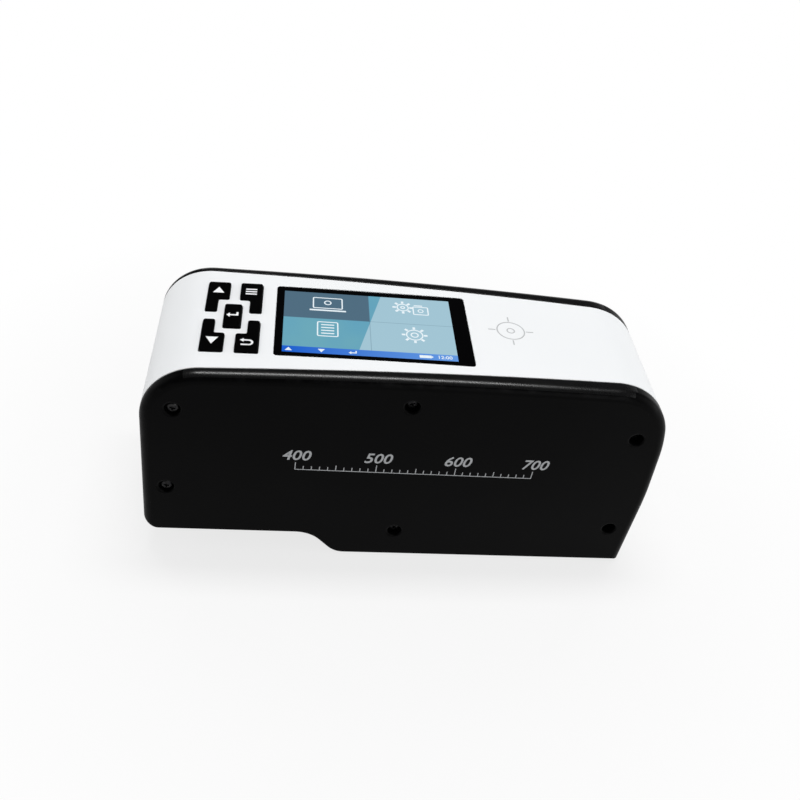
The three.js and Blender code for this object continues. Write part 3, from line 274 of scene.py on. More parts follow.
def makeFinish(name):
    look = finishes[name]
    first, other = look["colors"]
    material, nodes, shader = startMaterial(name, first, look["roughness"][0], look.get("metallic", 0.0),
                                            look.get("specular", 0.5))
    tone = nodes.ranged(nodes.noise(*look["tone"]), 0, 1, *look.get("toneFrom", (0.3, 0.7)))
    color = nodes.blend(tone, first, other)
    kind, *settings = look["grain"]
    grain = getattr(nodes, kind)(*settings)
    roughness = look["roughness"][0]
    if len(look["roughness"]) > 1:
        roughness = nodes.ranged(grain, *look["roughness"])
    if "smudges" in look:
        *settings, change = look["smudges"]
        roughness = nodes.calc("ADD", roughness, nodes.ranged(nodes.noise(*settings), -change, change))
    if "wear" in look:
        wear = look["wear"]
        worn = wornBand(nodes, wear)
        color = nodes.blend(worn, color, wear["color"])
        change = nodes.calc("MULTIPLY", worn, wear["roughness"] - look["roughness"][0])
        roughness = nodes.calc("ADD", roughness, change)
    if "tracks" in look:
        tracks = look["tracks"]
        raised = nodes.ranged(nodes.cells(tracks["scale"], "DISTANCE_TO_EDGE"), 1, 0, *tracks["edge"])
        color = nodes.blend(raised, color, tracks["color"])
        nodes.bump(shader, raised, *tracks["bump"])
    nodes.feed(shader.inputs["Base Color"], color)
    nodes.feed(shader.inputs["Roughness"], roughness)
    if "bump" in look:
        nodes.bump(shader, grain, *look["bump"])
    if "relief" in look:
        *settings, depth, strength = look["relief"]
        nodes.bump(shader, nodes.noise(*settings), depth, strength)
    return material


def lensGlass():
    material, nodes, shader = startMaterial("lensGlass", glass["color"], glass["roughness"][0])
    shader.inputs["Transmission Weight"].default_value = 1.0
    shader.inputs["IOR"].default_value = glass["ior"]
    shader.inputs["Coat Weight"].default_value = glass["coat"]
    nodes.feed(shader.inputs["Roughness"], nodes.ranged(nodes.noise(260, 3), *glass["roughness"]))
    return material


materials = {name: makeFinish(name) for name in finishes}
materials["lensGlass"] = lensGlass()
print("materials made:", len(materials))


# Picture on the display: four tiles, a lighter zone beside a slanting edge, and a status bar
picture = {
    "middle": (-0.00175, -0.0003),  # of the lit area, from the window's middle
    "size": (0.0658, 0.0393),
    "column": -0.0015,
    "row": 0.002,
    "barTop": -0.0163,
    "slant": {"u": -0.0011, "v": 0.0022, "lean": 0.267},  # a point on the slanting edge, and u for each v
    "line": 0.00022,
    "slate": (0.085, 0.165, 0.235),
    "blue": (0.125, 0.39, 0.565),
    "teal": (0.165, 0.44, 0.54),
    "pale": (0.40, 0.62, 0.73),
    "barLeft": (0.008, 0.125, 0.68),
    "barRight": (0.14, 0.36, 0.85),
    "pixelGap": (0.02, 0.04, 0.06),
    "glow": 0.92,
}
signLight = {"colors": ((0.80, 0.90, 0.95), (0.90, 0.97, 1.0)), "glow": 0.9}


def litFinish(name, color, roughness, light):
    material, nodes, shader = startMaterial(name, color, roughness[0], specular=0.08)
    shader.inputs["Emission Strength"].default_value = light["glow"]
    material.cycles.emission_sampling = "NONE"  # too faint to be a lamp, so it only adds noise as one
    nodes.feed(shader.inputs["Roughness"], nodes.ranged(nodes.noise(120, 4), *roughness))
    return material, nodes, shader


def screenPicture(matrix):
    material, nodes, shader = litFinish("screenPicture", (0.004, 0.004, 0.005), (0.06, 0.11), picture)
    space = nodes.space(matrix.translation, matrix.to_euler())
    split = nodes.add("SeparateXYZ")
    nodes.feed(split.inputs["Vector"], space)
    u, v = split.outputs["X"], split.outputs["Y"]
    half = picture["size"][0] / 2
    slant = picture["slant"]

    def past(value, edge, soft=0.00008):
        return nodes.ranged(value, 0, 1, edge - soft, edge + soft)

    beside = nodes.calc("SUBTRACT", u, nodes.calc("MULTIPLY", v, slant["lean"]))
    lit = past(beside, slant["u"] - slant["v"] * slant["lean"])
    drift = nodes.ranged(nodes.noise(38, 2), 0, 1)
    tiles = nodes.blend(lit, nodes.blend(drift, picture["blue"], picture["teal"]), picture["pale"])
    left = nodes.calc("SUBTRACT", 1, past(u, picture["column"]))
    tiles = nodes.blend(nodes.calc("MULTIPLY", left, past(v, picture["row"])), tiles, picture["slate"])
    for value, edge in ((u, picture["column"]), (v, picture["row"])):
        away = nodes.calc("ABSOLUTE", nodes.calc("SUBTRACT", value, edge))
        tiles = nodes.blend(nodes.ranged(away, 0.35, 0, picture["line"] / 2, picture["line"]), tiles,
                            picture["slate"])
    bar = nodes.blend(nodes.ranged(u, 0, 1, -half, half), picture["barLeft"], picture["barRight"])
    shown = nodes.blend(nodes.calc("SUBTRACT", 1, past(v, picture["barTop"])), tiles, bar)
    gaps = nodes.ranged(nodes.rows(1500, space), 0, 0.06, 0, 1)
    nodes.feed(shader.inputs["Emission Color"], nodes.blend(gaps, shown, picture["pixelGap"]))
    return material


def screenWhite():
    material, nodes, shader = litFinish("screenWhite", (0.05, 0.06, 0.07), (0.08, 0.14), signLight)
    tone = nodes.ranged(nodes.noise(900, 2), 0, 1)
    nodes.feed(shader.inputs["Emission Color"], nodes.blend(tone, *signLight["colors"]))
    return material


# Mesh helpers
def toObject(bm, name, *used):
    bmesh.ops.recalc_face_normals(bm, faces=bm.faces)
    mesh = bpy.data.meshes.new(name)
    bm.to_mesh(mesh)
    bm.free()
    for material in used:
        mesh.materials.append(material)
    made = bpy.data.objects.new(name, mesh)
    scene.collection.objects.link(made)
    return made


def placed(bm, matrix, name, *used):
    bmesh.ops.transform(bm, matrix=matrix, verts=bm.verts)
    return toObject(bm, name, *used)


def boolean(target, operation, *tools):
    for tool in tools:
        modifier = target.modifiers.new(operation.lower(), "BOOLEAN")
        modifier.operation = operation
        modifier.solver = "MANIFOLD"
        modifier.object = tool
    depsgraph = bpy.context.evaluated_depsgraph_get()
    made = bpy.data.meshes.new_from_object(target.evaluated_get(depsgraph))
    target.modifiers.clear()
    spent = target.data
    target.data = made
    bpy.data.meshes.remove(spent)
    for tool in tools:
        bpy.data.objects.remove(tool)
    return target


def finishPiece(piece, body, nodes=(), sharpAngle=34):
    piece.data.polygons.foreach_set("use_smooth", [True] * len(piece.data.polygons))
    piece.data.set_sharp_from_angle(angle=math.radians(sharpAngle))
    weighting = piece.modifiers.new("weighting", "WEIGHTED_NORMAL")
    weighting.keep_sharp = True
    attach(piece, body)
    if nodes:
        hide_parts(*nodes)
    return piece


def mergedCopy(node):  # a CAD node's shape as one closed mesh
    bm = bmesh.new()
    bm.from_mesh(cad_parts[node].data)
    bmesh.ops.remove_doubles(bm, verts=bm.verts, dist=0.000001)
    return toObject(bm, node + "_copy")


def faceAt(bm, points, height, corner=0.0, steps=5):  # flat face through points, corners rounded
    verts = [bm.verts.new((x, y, height)) for x, y in points]
    face = bm.faces.new(verts)
    if corner:
        bmesh.ops.bevel(bm, geom=verts, offset=corner, offset_type="OFFSET", segments=steps, profile=0.5,
                        affect="VERTICES", material=-1)
        face = max(flatFaces(bm, height), key=lambda f: f.calc_area())
    return face


def flatFaces(bm, height):
    return [f for f in bm.faces if all(abs(v.co.z - height) < 1e-9 for v in f.verts)]


def oblongPoints(length, width, u=0.0, v=0.0):
    return [(u + s * length / 2, v + t * width / 2) for s, t in ((1, 1), (-1, 1), (-1, -1), (1, -1))]


def raiseFaces(bm, faces, height):  # walls and a top over flat faces
    made = bmesh.ops.extrude_face_region(bm, geom=list(faces))
    lifted = [item for item in made["geom"] if isinstance(item, bmesh.types.BMVert)]
    bmesh.ops.translate(bm, verts=lifted, vec=(0, 0, height))
    return [item for item in made["geom"] if isinstance(item, bmesh.types.BMFace)]


def growFace(bm, face, height):  # moves a face up and leaves walls behind it
    lifted = raiseFaces(bm, [face], height)[0]
    bmesh.ops.delete(bm, geom=[face], context="FACES_ONLY")
    return lifted


def roundEdges(bm, edges, radius, steps=3):
    bmesh.ops.bevel(bm, geom=list(edges), offset=radius, offset_type="OFFSET", segments=steps, profile=0.5,
                    affect="EDGES", material=-1, clamp_overlap=True)


def prism(points, low, high, corner=0.0, topRound=0.0, bottomRound=0.0, steps=5):
    bm = bmesh.new()
    base = faceAt(bm, points, low, corner, steps)
    top = raiseFaces(bm, [base], high - low)[0]
    topEdges = list(top.edges)
    bottomEdges = [e for e in bm.edges if all(abs(v.co.z - low) < 1e-9 for v in e.verts)]
    if topRound:
        roundEdges(bm, topEdges, topRound)
    if bottomRound:
        roundEdges(bm, bottomEdges, bottomRound)
    return bm


def turned(profile, steps=32):  # solid of revolution about Z from (radius, height) points, closed on the axis
    bm = bmesh.new()
    verts = [bm.verts.new((radius, 0, height)) for radius, height in profile]
    edges = [bm.edges.new(pair) for pair in zip(verts, verts[1:] + verts[:1])]
    edges = [e for e in edges if not all(abs(v.co.x) < 1e-9 for v in e.verts)]
    bmesh.ops.spin(bm, geom=verts + edges, cent=(0, 0, 0), axis=(0, 0, 1), angle=math.tau, steps=steps,
                   use_merge=True, use_duplicate=False)
    bmesh.ops.remove_doubles(bm, verts=bm.verts, dist=0.0000005)
    loose = [e for e in bm.edges if not e.link_faces]
    bmesh.ops.delete(bm, geom=loose, context="EDGES")
    return bm


def boreProfile(radius, floor, mouth, flare, over=0.001, steps=4):  # hole whose mouth is rounded
    points = [(0, floor), (radius, floor)]
    for step in range(steps + 1):
        angle = math.radians(90) * step / steps
        points.append((radius + flare * (1 - math.cos(angle)), mouth - flare * (1 - math.sin(angle))))
    return points + [(radius + flare, mouth + over), (0, mouth + over)]


# Side outline of the body, anticlockwise with X to the right and Z up
body = {
    "length": 0.205, "height": 0.0952, "rearWidth": 0.0737, "noseWidth": 0.0635,
    "rearBand": 0.0641, "noseBand": 0.0478, "wall": 0.0022, "seamGap": 0.0003,
}
profile = {"undersideHeight": 0.0118, "archRadius": 2.30741, "smallestRadius": 0.0001, "chordError": 0.000008}
rearX = -body["length"] / 2
noseX = body["length"] / 2
outlineCorners = [
    {"x": rearX, "z": profile["undersideHeight"], "radius": 0.006, "bottom": True},
    {"x": rearX + 0.0662, "z": profile["undersideHeight"], "radius": 0.0115, "bottom": True},
    {"x": rearX + 0.0772, "z": 0.0, "radius": 0.0115, "bottom": True},
    {"x": noseX - 0.0006, "z": 0.0, "radius": 0.0008, "bottom": False},
    {"x": noseX, "z": 0.04, "radius": 0.16, "bottom": False},
    {"x": noseX - 0.0019, "z": 0.068, "radius": 0.07, "bottom": False},
    {"x": noseX - 0.0079, "z": body["height"] - 0.0007, "radius": 0.026, "bottom": False},
    {"x": 0.0, "z": body["height"] + 0.00103, "radius": profile["archRadius"], "bottom": False},
    {"x": rearX, "z": body["height"] - 0.0034, "radius": 0.0225, "bottom": False},
]
archCorner = 7


def sideAt(x):  # half width of the body
    return halfAt(x, body["rearWidth"], body["noseWidth"])


def seamAt(x):  # half width of the band at the seam's middle
    return halfAt(x, body["rearBand"], body["noseBand"])


def bandHalf(x):
    return seamAt(x) - body["seamGap"] / 2


def halfAt(x, rear, nose):
    return (rear + (nose - rear) * (x / body["length"] + 0.5)) / 2


def outlineArcs(inset, bottomInset):
    runs = []
    for i, corner in enumerate(outlineCorners):
        after = outlineCorners[(i + 1) % len(outlineCorners)]
        along = Vector((after["x"] - corner["x"], after["z"] - corner["z"])).normalized()
        inward = Vector((-along.y, along.x))
        start = Vector((corner["x"], corner["z"])) + inward * (bottomInset if corner["bottom"] else inset)
        runs.append((along, inward, start))
    arcs = []
    for i, corner in enumerate(outlineCorners):
        alongBefore, inwardBefore, startBefore = runs[i - 1]
        along, inward, start = runs[i]
        turnSine = alongBefore.cross(along)
        reach = (start - startBefore).cross(along) / turnSine
        turn = math.atan2(turnSine, alongBefore.dot(along))
        sign = math.copysign(1, turn)
        radius = max(corner["radius"] - sign * inset, profile["smallestRadius"])
        tip = startBefore + alongBefore * reach
        first = tip - alongBefore * radius * math.tan(abs(turn) / 2)
        facet = 2 * math.acos(1 - profile["chordError"] / corner["radius"])
        arcs.append({
            "first": first,
            "centre": first + inwardBefore * sign * radius,
            "radius": radius,
            "turn": turn,
            "steps": max(2, math.ceil(abs(turn) / facet)),
        })
    return arcs


def outlineLoop(bm, inset, bottomInset, sideways):  # closed loop of edges at y = sideways(x)
    verts = []
    for arc in outlineArcs(inset, bottomInset):
        x, z = arc["first"]
        last = bm.verts.new((x, 0, z))
        verts.append(last)
        centre, angle = (arc["centre"].x, 0, arc["centre"].y), arc["turn"] / arc["steps"]
        for step in range(arc["steps"]):
            made = bmesh.ops.spin(bm, geom=[last], cent=centre, axis=(0, -1, 0), angle=angle, steps=1,
                                  use_duplicate=False)
            last = next(item for item in made["geom_last"] if isinstance(item, bmesh.types.BMVert))
            verts.append(last)
    for vert in verts:
        vert.co.y = sideways(vert.co.x)
    edges = []
    for first, second in zip(verts, verts[1:] + verts[:1]):
        edges.append(bm.edges.get((first, second)) or bm.edges.new((first, second)))
    return edges


def loft(bm, loops, closed=False):
    pairs = list(zip(loops, loops[1:] + (loops[:1] if closed else [])))
    for first, second in pairs:
        bmesh.ops.bridge_loops(bm, edges=first + second)
    if not closed:
        bmesh.ops.edgeloop_fill(bm, edges=loops[0])
        bmesh.ops.edgeloop_fill(bm, edges=loops[-1])
    return bm


def topFrame(x):  # frame on the arched top: its Z is the surface's normal
    arc = outlineArcs(0, 0)[archCorner]
    lean = math.asin((x - arc["centre"].x) / arc["radius"])
    height = arc["centre"].y + math.sqrt(arc["radius"] ** 2 - (x - arc["centre"].x) ** 2)
    return Matrix.Translation((x, 0, height)) @ Matrix.Rotation(lean, 4, "Y")


# Side covers
cover = {
    "tongueInset": 0.0025, "tongueReach": 0.002, "cavityInset": 0.0034,
    "edgeRound": 0.004, "edgeSteps": 12, "bottomShare": 0.4, "rimRound": 0.0003, "rimSteps": 3,
    "ridgeTilt": math.radians(45), "ridgeSlope": 0.3,
    "dished": 0.00005,  # keeps two neighbouring loops out of one plane, which bridging needs
    "wellRadius": 0.0027, "wellWall": 0.0013, "wellFloor": 0.002, "wellFlare": 0.0011,
    "throughRadius": 0.0015, "throughFlare": 0.0002,
}
screwShares = [
    (-0.44, 0.806), (-0.018, 0.875), (0.425, 0.76), (0.445, 0.217), (-0.005, 0.161), (-0.454, 0.388),
]
screwSpots = [(along * body["length"], up * body["height"]) for along, up in screwShares]


def coverShell(name, side):
    bm = bmesh.new()
    rim = body["seamGap"] / 2

    def ring(inset, bottomInset, reach):
        return outlineLoop(bm, inset, bottomInset, lambda x: side * reach(x))

    cavity, tongue, dished = cover["cavityInset"], cover["tongueInset"], cover["dished"]
    loops = [
        ring(cavity, cavity, lambda x: sideAt(x) - body["wall"]),
        ring(cavity, cavity, lambda x: seamAt(x) - cover["tongueReach"] + dished),
        ring(tongue, tongue, lambda x: seamAt(x) - cover["tongueReach"]),
        ring(tongue, tongue, lambda x: seamAt(x) + rim + dished),
    ]
    for step in range(cover["rimSteps"] + 1):
        angle = math.radians(90) * step / cover["rimSteps"]
        inset = cover["rimRound"] * (1 - math.sin(angle))
        out = rim + cover["rimRound"] * (1 - math.cos(angle))
        loops.append(ring(inset, inset, lambda x, out=out: seamAt(x) + out))
    for step in range(cover["edgeSteps"] + 1):
        angle = math.radians(90) * step / cover["edgeSteps"]
        inset = cover["edgeRound"] * (1 - math.cos(angle))
        fall = cover["edgeRound"] * (1 - math.sin(angle))
        loops.append(ring(inset, inset * cover["bottomShare"], lambda x, fall=fall: sideAt(x) - fall))
    loft(bm, loops)
    bmesh.ops.recalc_face_normals(bm, faces=bm.faces)
    for face in bm.faces:
        outside = abs(face.calc_center_median().y) > seamAt(face.calc_center_median().x) + rim
        upper = face.normal.z > cover["ridgeSlope"] and abs(face.normal.y) < math.sin(cover["ridgeTilt"])
        upper = upper and abs(face.normal.x) < cover["ridgeSlope"] * face.normal.z
        face.material_index = int(outside and upper)
    return toObject(bm, name, materials["coverPlastic"], materials["coverRidge"])


def outwardsAt(x, z, side):  # local Z runs out of the side cover, from the middle plane
    return Matrix.Translation((x, 0, z)) @ Matrix.Rotation(-side * math.radians(90), 4, "X")


def addSideCover(name, side, node):
    shell = coverShell(name, side)
    tubes, holes = [], []
    for x, z in screwSpots:
        place = outwardsAt(x, z, side)
        outer = cover["wellRadius"] + cover["wellWall"]
        low, high = seamAt(x), sideAt(x) - body["wall"] / 2
        tube = turned([(0, low), (outer, low), (outer, high), (0, high)], 40)
        tubes.append(placed(tube, place, "tube"))
        floor = low + cover["wellFloor"]
        bore = turned(boreProfile(cover["wellRadius"], floor, sideAt(x), cover["wellFlare"]), 40)
        holes.append(placed(bore, place, "bore"))
        through = turned(boreProfile(cover["throughRadius"], low - 0.001, floor, cover["throughFlare"]), 32)
        holes.append(placed(through, place, "through"))
    boolean(shell, "UNION", *tubes)
    boolean(shell, "DIFFERENCE", *holes)
    finishPiece(shell, "housing", [node])


addSideCover("right_cover_shell", -1, "right_side_cover")
addSideCover("left_cover_shell", 1, "left_side_cover")
print("side covers made")


# Band between the side covers: white above, black base below
band = {
    "rimRound": 0.0003, "rimSteps": 3, "rearSplit": 0.020, "noseSplit": 0.004, "splitGap": 0.0003,
    "overlap": 0.0003, "sideGap": 0.00002,  # of the CAD cover's inside with the wall and the rims
}


def bandRing(name, material):
    bm = bmesh.new()
    loops = []
    for side in (-1, 1):
        steps = range(band["rimSteps"] + 1)
        for step in (steps if side < 0 else reversed(steps)):
            angle = math.radians(90) * step / band["rimSteps"]
            inset = band["rimRound"] * (1 - math.sin(angle))
            back = band["rimRound"] * (1 - math.cos(angle))
            loops.append(outlineLoop(bm, inset, inset,
                                     lambda x, back=back, side=side: side * (bandHalf(x) - back)))
    wall = body["wall"]
    for side in (1, -1):
        loops.append(outlineLoop(bm, wall, wall, lambda x, side=side: side * (bandHalf(x) - cover["dished"])))
    return toObject(loft(bm, loops, closed=True), name, material)


def insideOf(node):  # what a CAD cover carries inside its wall
    bm = bmesh.new()
    depth = body["wall"] - band["overlap"]
    loops = []
    for side in (-1, 1):
        loops.append(outlineLoop(bm, depth, depth,
                                 lambda x, side=side: side * (bandHalf(x) - band["sideGap"])))
    return boolean(mergedCopy(node), "INTERSECT", toObject(loft(bm, loops), "inside"))


def blockTool(low, high):
    bm = bmesh.new()
    bmesh.ops.create_cube(bm, size=1)
    size = Vector(high) - Vector(low)
    bmesh.ops.scale(bm, vec=size, verts=bm.verts)
    bmesh.ops.translate(bm, vec=Vector(low) + size / 2, verts=bm.verts)
    return toObject(bm, "block")


def belowSplit(drop):
    wide, over = body["rearWidth"], 0.001
    return [
        blockTool((rearX - over, -wide, -over), (0, wide, band["rearSplit"] - drop)),
        blockTool((-over, -wide, -over), (noseX + over, wide, band["noseSplit"] - drop)),
    ]


# Window and keys stand on frames of the arched top
window = {
    "x": -0.0182, "length": 0.0752, "width": 0.0446, "top": -0.0002, "thickness": 0.0012, "corner": 0.0015,
    "clearance": 0.00015, "ledge": 0.0014, "edgeRound": 0.0002, "mouthRound": 0.00012,
}
keypad = {
    "x": -0.072, "length": 0.021, "width": 0.0438, "headLength": 0.0085, "headDepth": 0.0106,
    "legLength": 0.0044, "legDepth": 0.019, "middle": (0.0065, 0.0145), "corner": 0.0009, "proud": 0.001,
    "flangeWidth": 0.0008, "flangeLow": -0.0034, "flangeTop": -0.0025, "clearance": 0.00027,
    "edgeRound": 0.0003, "mouthRound": 0.0002, "capLift": 0.0002,
}
displayFrame = topFrame(window["x"])
keypadFrame = topFrame(keypad["x"])
keyQuadrants = {"up_key": (-1, 1), "menu_key": (1, 1), "down_key": (-1, -1), "back_key": (1, -1)}


def keyPoints(name, grow):
    if name == "enter_key":
        return oblongPoints(keypad["middle"][0] + 2 * grow, keypad["middle"][1] + 2 * grow)
    u, v = keyQuadrants[name]
    x, y = keypad["length"] / 2, keypad["width"] / 2
    points = [
        (x + grow, y + grow),
        (x - keypad["headLength"] - grow, y + grow),
        (x - keypad["headLength"] - grow, y - keypad["headDepth"] - grow),
        (x - keypad["legLength"] - grow, y - keypad["headDepth"] - grow),
        (x - keypad["legLength"] - grow, y - keypad["legDepth"] - grow),
        (x + grow, y - keypad["legDepth"] - grow),
    ]
    mirrored = [(u * a, v * b) for a, b in points]
    return mirrored if u * v > 0 else mirrored[::-1]


def mouthTool(points, low, corner, flare, matrix):  # opening through the top skin, its mouth softened
    bm = bmesh.new()
    top = raiseFaces(bm, [faceAt(bm, points, low, corner)], -flare - low)[0]
    for step in range(3):
        before, after = (math.radians(90) * k / 3 for k in (step, step + 1))
        outward = flare * (math.cos(before) - math.cos(after))
        shifts = {}
        for loop in top.loops:
            shift = Vector((0, 0, 0))
            for side in (loop, loop.link_loop_prev):
                run = (side.link_loop_next.vert.co - side.vert.co).normalized()
                shift += Vector((run.y, -run.x, 0))
            shifts[loop.index] = shift.normalized() * outward / max(shift.length / 2, 0.5)
        places = [loop.vert.co + shifts[loop.index] for loop in top.loops]
        lifted = growFace(bm, top, flare * (math.sin(after) - math.sin(before)))
        for loop, place in zip(lifted.loops, places):
            loop.vert.co.xy = place.xy
        top = lifted
    growFace(bm, top, 0.001)
    return placed(bm, matrix, "mouth")


def addTopCover():
    white = bandRing("white_band", materials["whitePlastic"])
    boolean(white, "DIFFERENCE", *belowSplit(0))
    boolean(white, "UNION", insideOf("top_cover"))
    grow = 2 * window["clearance"]
    seat = window["top"] - window["thickness"] - window["clearance"]
    opening = (window["length"] - 2 * window["ledge"], window["width"] - 2 * window["ledge"])
    through = -body["wall"] - 0.001
    tools = [
        mouthTool(oblongPoints(window["length"] + grow, window["width"] + grow), seat, window["corner"],
                  window["mouthRound"], displayFrame),
        placed(prism(oblongPoints(*opening), through, 0), displayFrame, "opening"),
    ]
    for name in (*keyQuadrants, "enter_key"):
        tools.append(mouthTool(keyPoints(name, keypad["clearance"]), through, keypad["corner"],
                               keypad["mouthRound"], keypadFrame))
    tools.append(portTool())
    boolean(white, "DIFFERENCE", *tools)
    finishPiece(white, "housing", ["top_cover"], sharpAngle=20)


# Opening in the rear wall, in front of the socket panel
ports = {
    "centreZ": 0.046, "openingHeight": 0.034, "openingWidth": 0.028, "openingCorner": 0.003,
    "mouthRound": 0.0006, "panelFront": rearX + 0.0025, "panelThickness": 0.0016, "panelHeight": 0.040,
    "panelWidth": 0.034, "panelCorner": 0.0012, "panelRound": 0.0003, "panelFlare": 0.0002,
    "cutDepth": 0.003, "slack": 0.0006,
}


def rearFacing(x, z):  # local Z points out of the rear wall, local X points up
    return Matrix(((0, 0, -1, x), (0, 1, 0, 0), (1, 0, 0, z), (0, 0, 0, 1)))


def portTool():
    points = oblongPoints(ports["openingHeight"], ports["openingWidth"])
    return mouthTool(points, -body["wall"] - 0.001, ports["openingCorner"], ports["mouthRound"],
                     rearFacing(rearX, ports["centreZ"]))


addTopCover()
print("white band made")


# Base with the seats of the battery door, the aperture ring and the base screws
base = {
    "opticsX": 0.062, "ringSeat": 0.0135, "seatTop": 0.0013, "collarHole": 0.0103,
    "screwReach": 0.0186, "screwHole": 0.0028, "screwTop": 0.0031,
    "doorX": -0.068, "doorLength": 0.050, "doorWidth": 0.046, "doorCorner": 0.002, "doorThickness": 0.0012,
    "doorClearance": 0.00015, "mouthRound": 0.0003,
    "bayX": -0.066, "bayHalf": 0.0203, "doorScrewX": -0.0897, "doorScrewY": 0.0196, "doorScrewHole": 0.0012,
    "doorScrewDepth": 0.0064, "boreFlare": 0.0001, "bayLow": -0.0005, "bayTop": 0.004,
}
baseScrewSpots = [
    (base["opticsX"] + u * base["screwReach"], v * base["screwReach"]) for u in (-1, 1) for v in (-1, 1)
]
doorScrewSpots = [(base["doorScrewX"], side * base["doorScrewY"]) for side in (-1, 1)]
upsideDown = Matrix.Rotation(math.pi, 4, "X")


def downwardBore(x, y, radius, depth, surface=0.0, flare=base["mouthRound"]):  # opens downwards at surface
    bm = turned(boreProfile(radius, -depth, 0, flare), 40)
    return placed(bm, Matrix.Translation((x, y, surface)) @ upsideDown, "bore")


def addBaseCover():
    black = bandRing("base_shell", materials["coverPlastic"])
    rear, nose = belowSplit(band["splitGap"])
    boolean(black, "INTERSECT", boolean(rear, "UNION", nose))
    boolean(black, "UNION", insideOf("base_cover"))
    grow = 2 * base["doorClearance"]
    doorSeat = base["doorThickness"] + base["doorClearance"]
    x, half, low = base["bayX"], base["bayHalf"], profile["undersideHeight"]
    doorPlace = Matrix.Translation((base["doorX"], 0, low)) @ upsideDown
    points = oblongPoints(base["doorLength"] + grow, base["doorWidth"] + grow)
    tools = [
        mouthTool(points, -doorSeat, base["doorCorner"], base["mouthRound"], doorPlace),
        downwardBore(base["opticsX"], 0, base["ringSeat"], base["seatTop"]),
        downwardBore(base["opticsX"], 0, base["collarHole"], body["wall"] + 0.0005, flare=base["boreFlare"]),
        blockTool((x - half, -half, low + doorSeat + base["bayLow"]), (x + half, half, low + base["bayTop"])),
    ]
    for x, y in doorScrewSpots:
        tools.append(downwardBore(x, y, base["doorScrewHole"], base["doorScrewDepth"], low,
                                  base["boreFlare"]))
    for x, y in baseScrewSpots:
        tools.append(downwardBore(x, y, base["screwHole"], base["screwTop"]))
    boolean(black, "DIFFERENCE", *tools)
    finishPiece(black, "housing", ["base_cover"])


addBaseCover()
print("base made")


# Display window with the lit area as a face of its own, and white signs on it
def addWindow():
    bm = prism(oblongPoints(window["length"], window["width"]), window["top"] - window["thickness"],
               window["top"], window["corner"], topRound=window["edgeRound"], steps=8)
    (u, v), (long, wide) = picture["middle"], picture["size"]
    cuts = [((u + s * long / 2, 0, 0), (1, 0, 0)) for s in (-1, 1)]
    cuts += [((0, v + s * wide / 2, 0), (0, 1, 0)) for s in (-1, 1)]
    for place, normal in cuts:
        top = [f for f in bm.faces if f.calc_center_median().z > window["top"] - 1e-7]
        geometry = top + list({e for f in top for e in f.edges}) + list({p for f in top for p in f.verts})
        bmesh.ops.bisect_plane(bm, geom=geometry, plane_co=place, plane_no=normal)
    for face in bm.faces:
        centre = face.calc_center_median()
        inside = abs(centre.x - u) < long / 2 and abs(centre.y - v) < wide / 2
        face.material_index = int(inside and centre.z > window["top"] - 1e-7)
    pane = placed(bm, displayFrame, "window_pane", materials["windowBlack"], screenPicture(displayFrame))
    finishPiece(pane, "housing", ["display_window"])


signs = {"line": 0.0005, "height": 0.00003, "sunk": 0.00002}


def bar(bm, u, v, length, width, angle=0.0):
    turn = Matrix.Rotation(angle, 2)
    return polygon(bm, [Vector((u, v)) + turn @ Vector(point) for point in oblongPoints(length, width)])


def polygon(bm, points):
    return bm.faces.new([bm.verts.new((u, v, 0)) for u, v in points])


def hollow(bm, face, line):  # leaves a border of a face
    bmesh.ops.inset_region(bm, faces=[face], thickness=line, use_even_offset=True, use_boundary=True)
    bmesh.ops.delete(bm, geom=[face], context="FACES_ONLY")


def outlineFrame(bm, u, v, length, width, corner, line):
    before = set(bm.faces)
    verts = list(polygon(bm, oblongPoints(length, width, u, v)).verts)
    bmesh.ops.bevel(bm, geom=verts, offset=corner, offset_type="OFFSET", segments=3, profile=0.5,
                    affect="VERTICES", material=-1)
    hollow(bm, next(f for f in bm.faces if f not in before), line)


def ringMark(bm, u, v, radius, line, steps=24):
    made = bmesh.ops.create_circle(bm, cap_ends=True, radius=radius, segments=steps,
                                   matrix=Matrix.Translation((u, v, 0)))
    hollow(bm, made["verts"][0].link_faces[0], line)


def toothedRing(bm, u, v, outer, inner, line, teeth=8, tooth=(0.0014, 0.0010)):
    ringMark(bm, u, v, outer, line)
    ringMark(bm, u, v, inner, line)
    reach = outer + 0.0009
    for step in range(teeth):
        angle = math.tau * step / teeth
        bar(bm, u + reach * math.cos(angle), v + reach * math.sin(angle), *tooth, angle)


def bend(bm, u, v, radius, width, start, turn, steps):  # arc of short bars
    for step in range(steps):
        angle = math.radians(start + turn * step)
        bar(bm, u + radius * math.cos(angle), v + radius * math.sin(angle), width, width,
            angle + math.radians(90))


def drawShapes(bm, shapes):  # each shape is its drawing function and that function's values
    for draw, *values in shapes:
        draw(bm, *values)


def addText(bm, words, size, place, lean=0.0, bold=0.0):  # faces of plain figures, centred
    data = bpy.data.curves.new("figures", "FONT")
    for name, value in (("body", words), ("size", size), ("align_x", "CENTER"), ("align_y", "CENTER"),
                        ("shear", lean), ("offset", bold), ("resolution_u", 3)):
        setattr(data, name, value)
    written = bpy.data.objects.new("figures", data)
    scene.collection.objects.link(written)
    mesh = bpy.data.meshes.new_from_object(written.evaluated_get(bpy.context.evaluated_depsgraph_get()))
    mesh.transform(Matrix.Translation((*place, 0)))
    bm.from_mesh(mesh)
    bpy.data.objects.remove(written)
    bpy.data.meshes.remove(mesh)


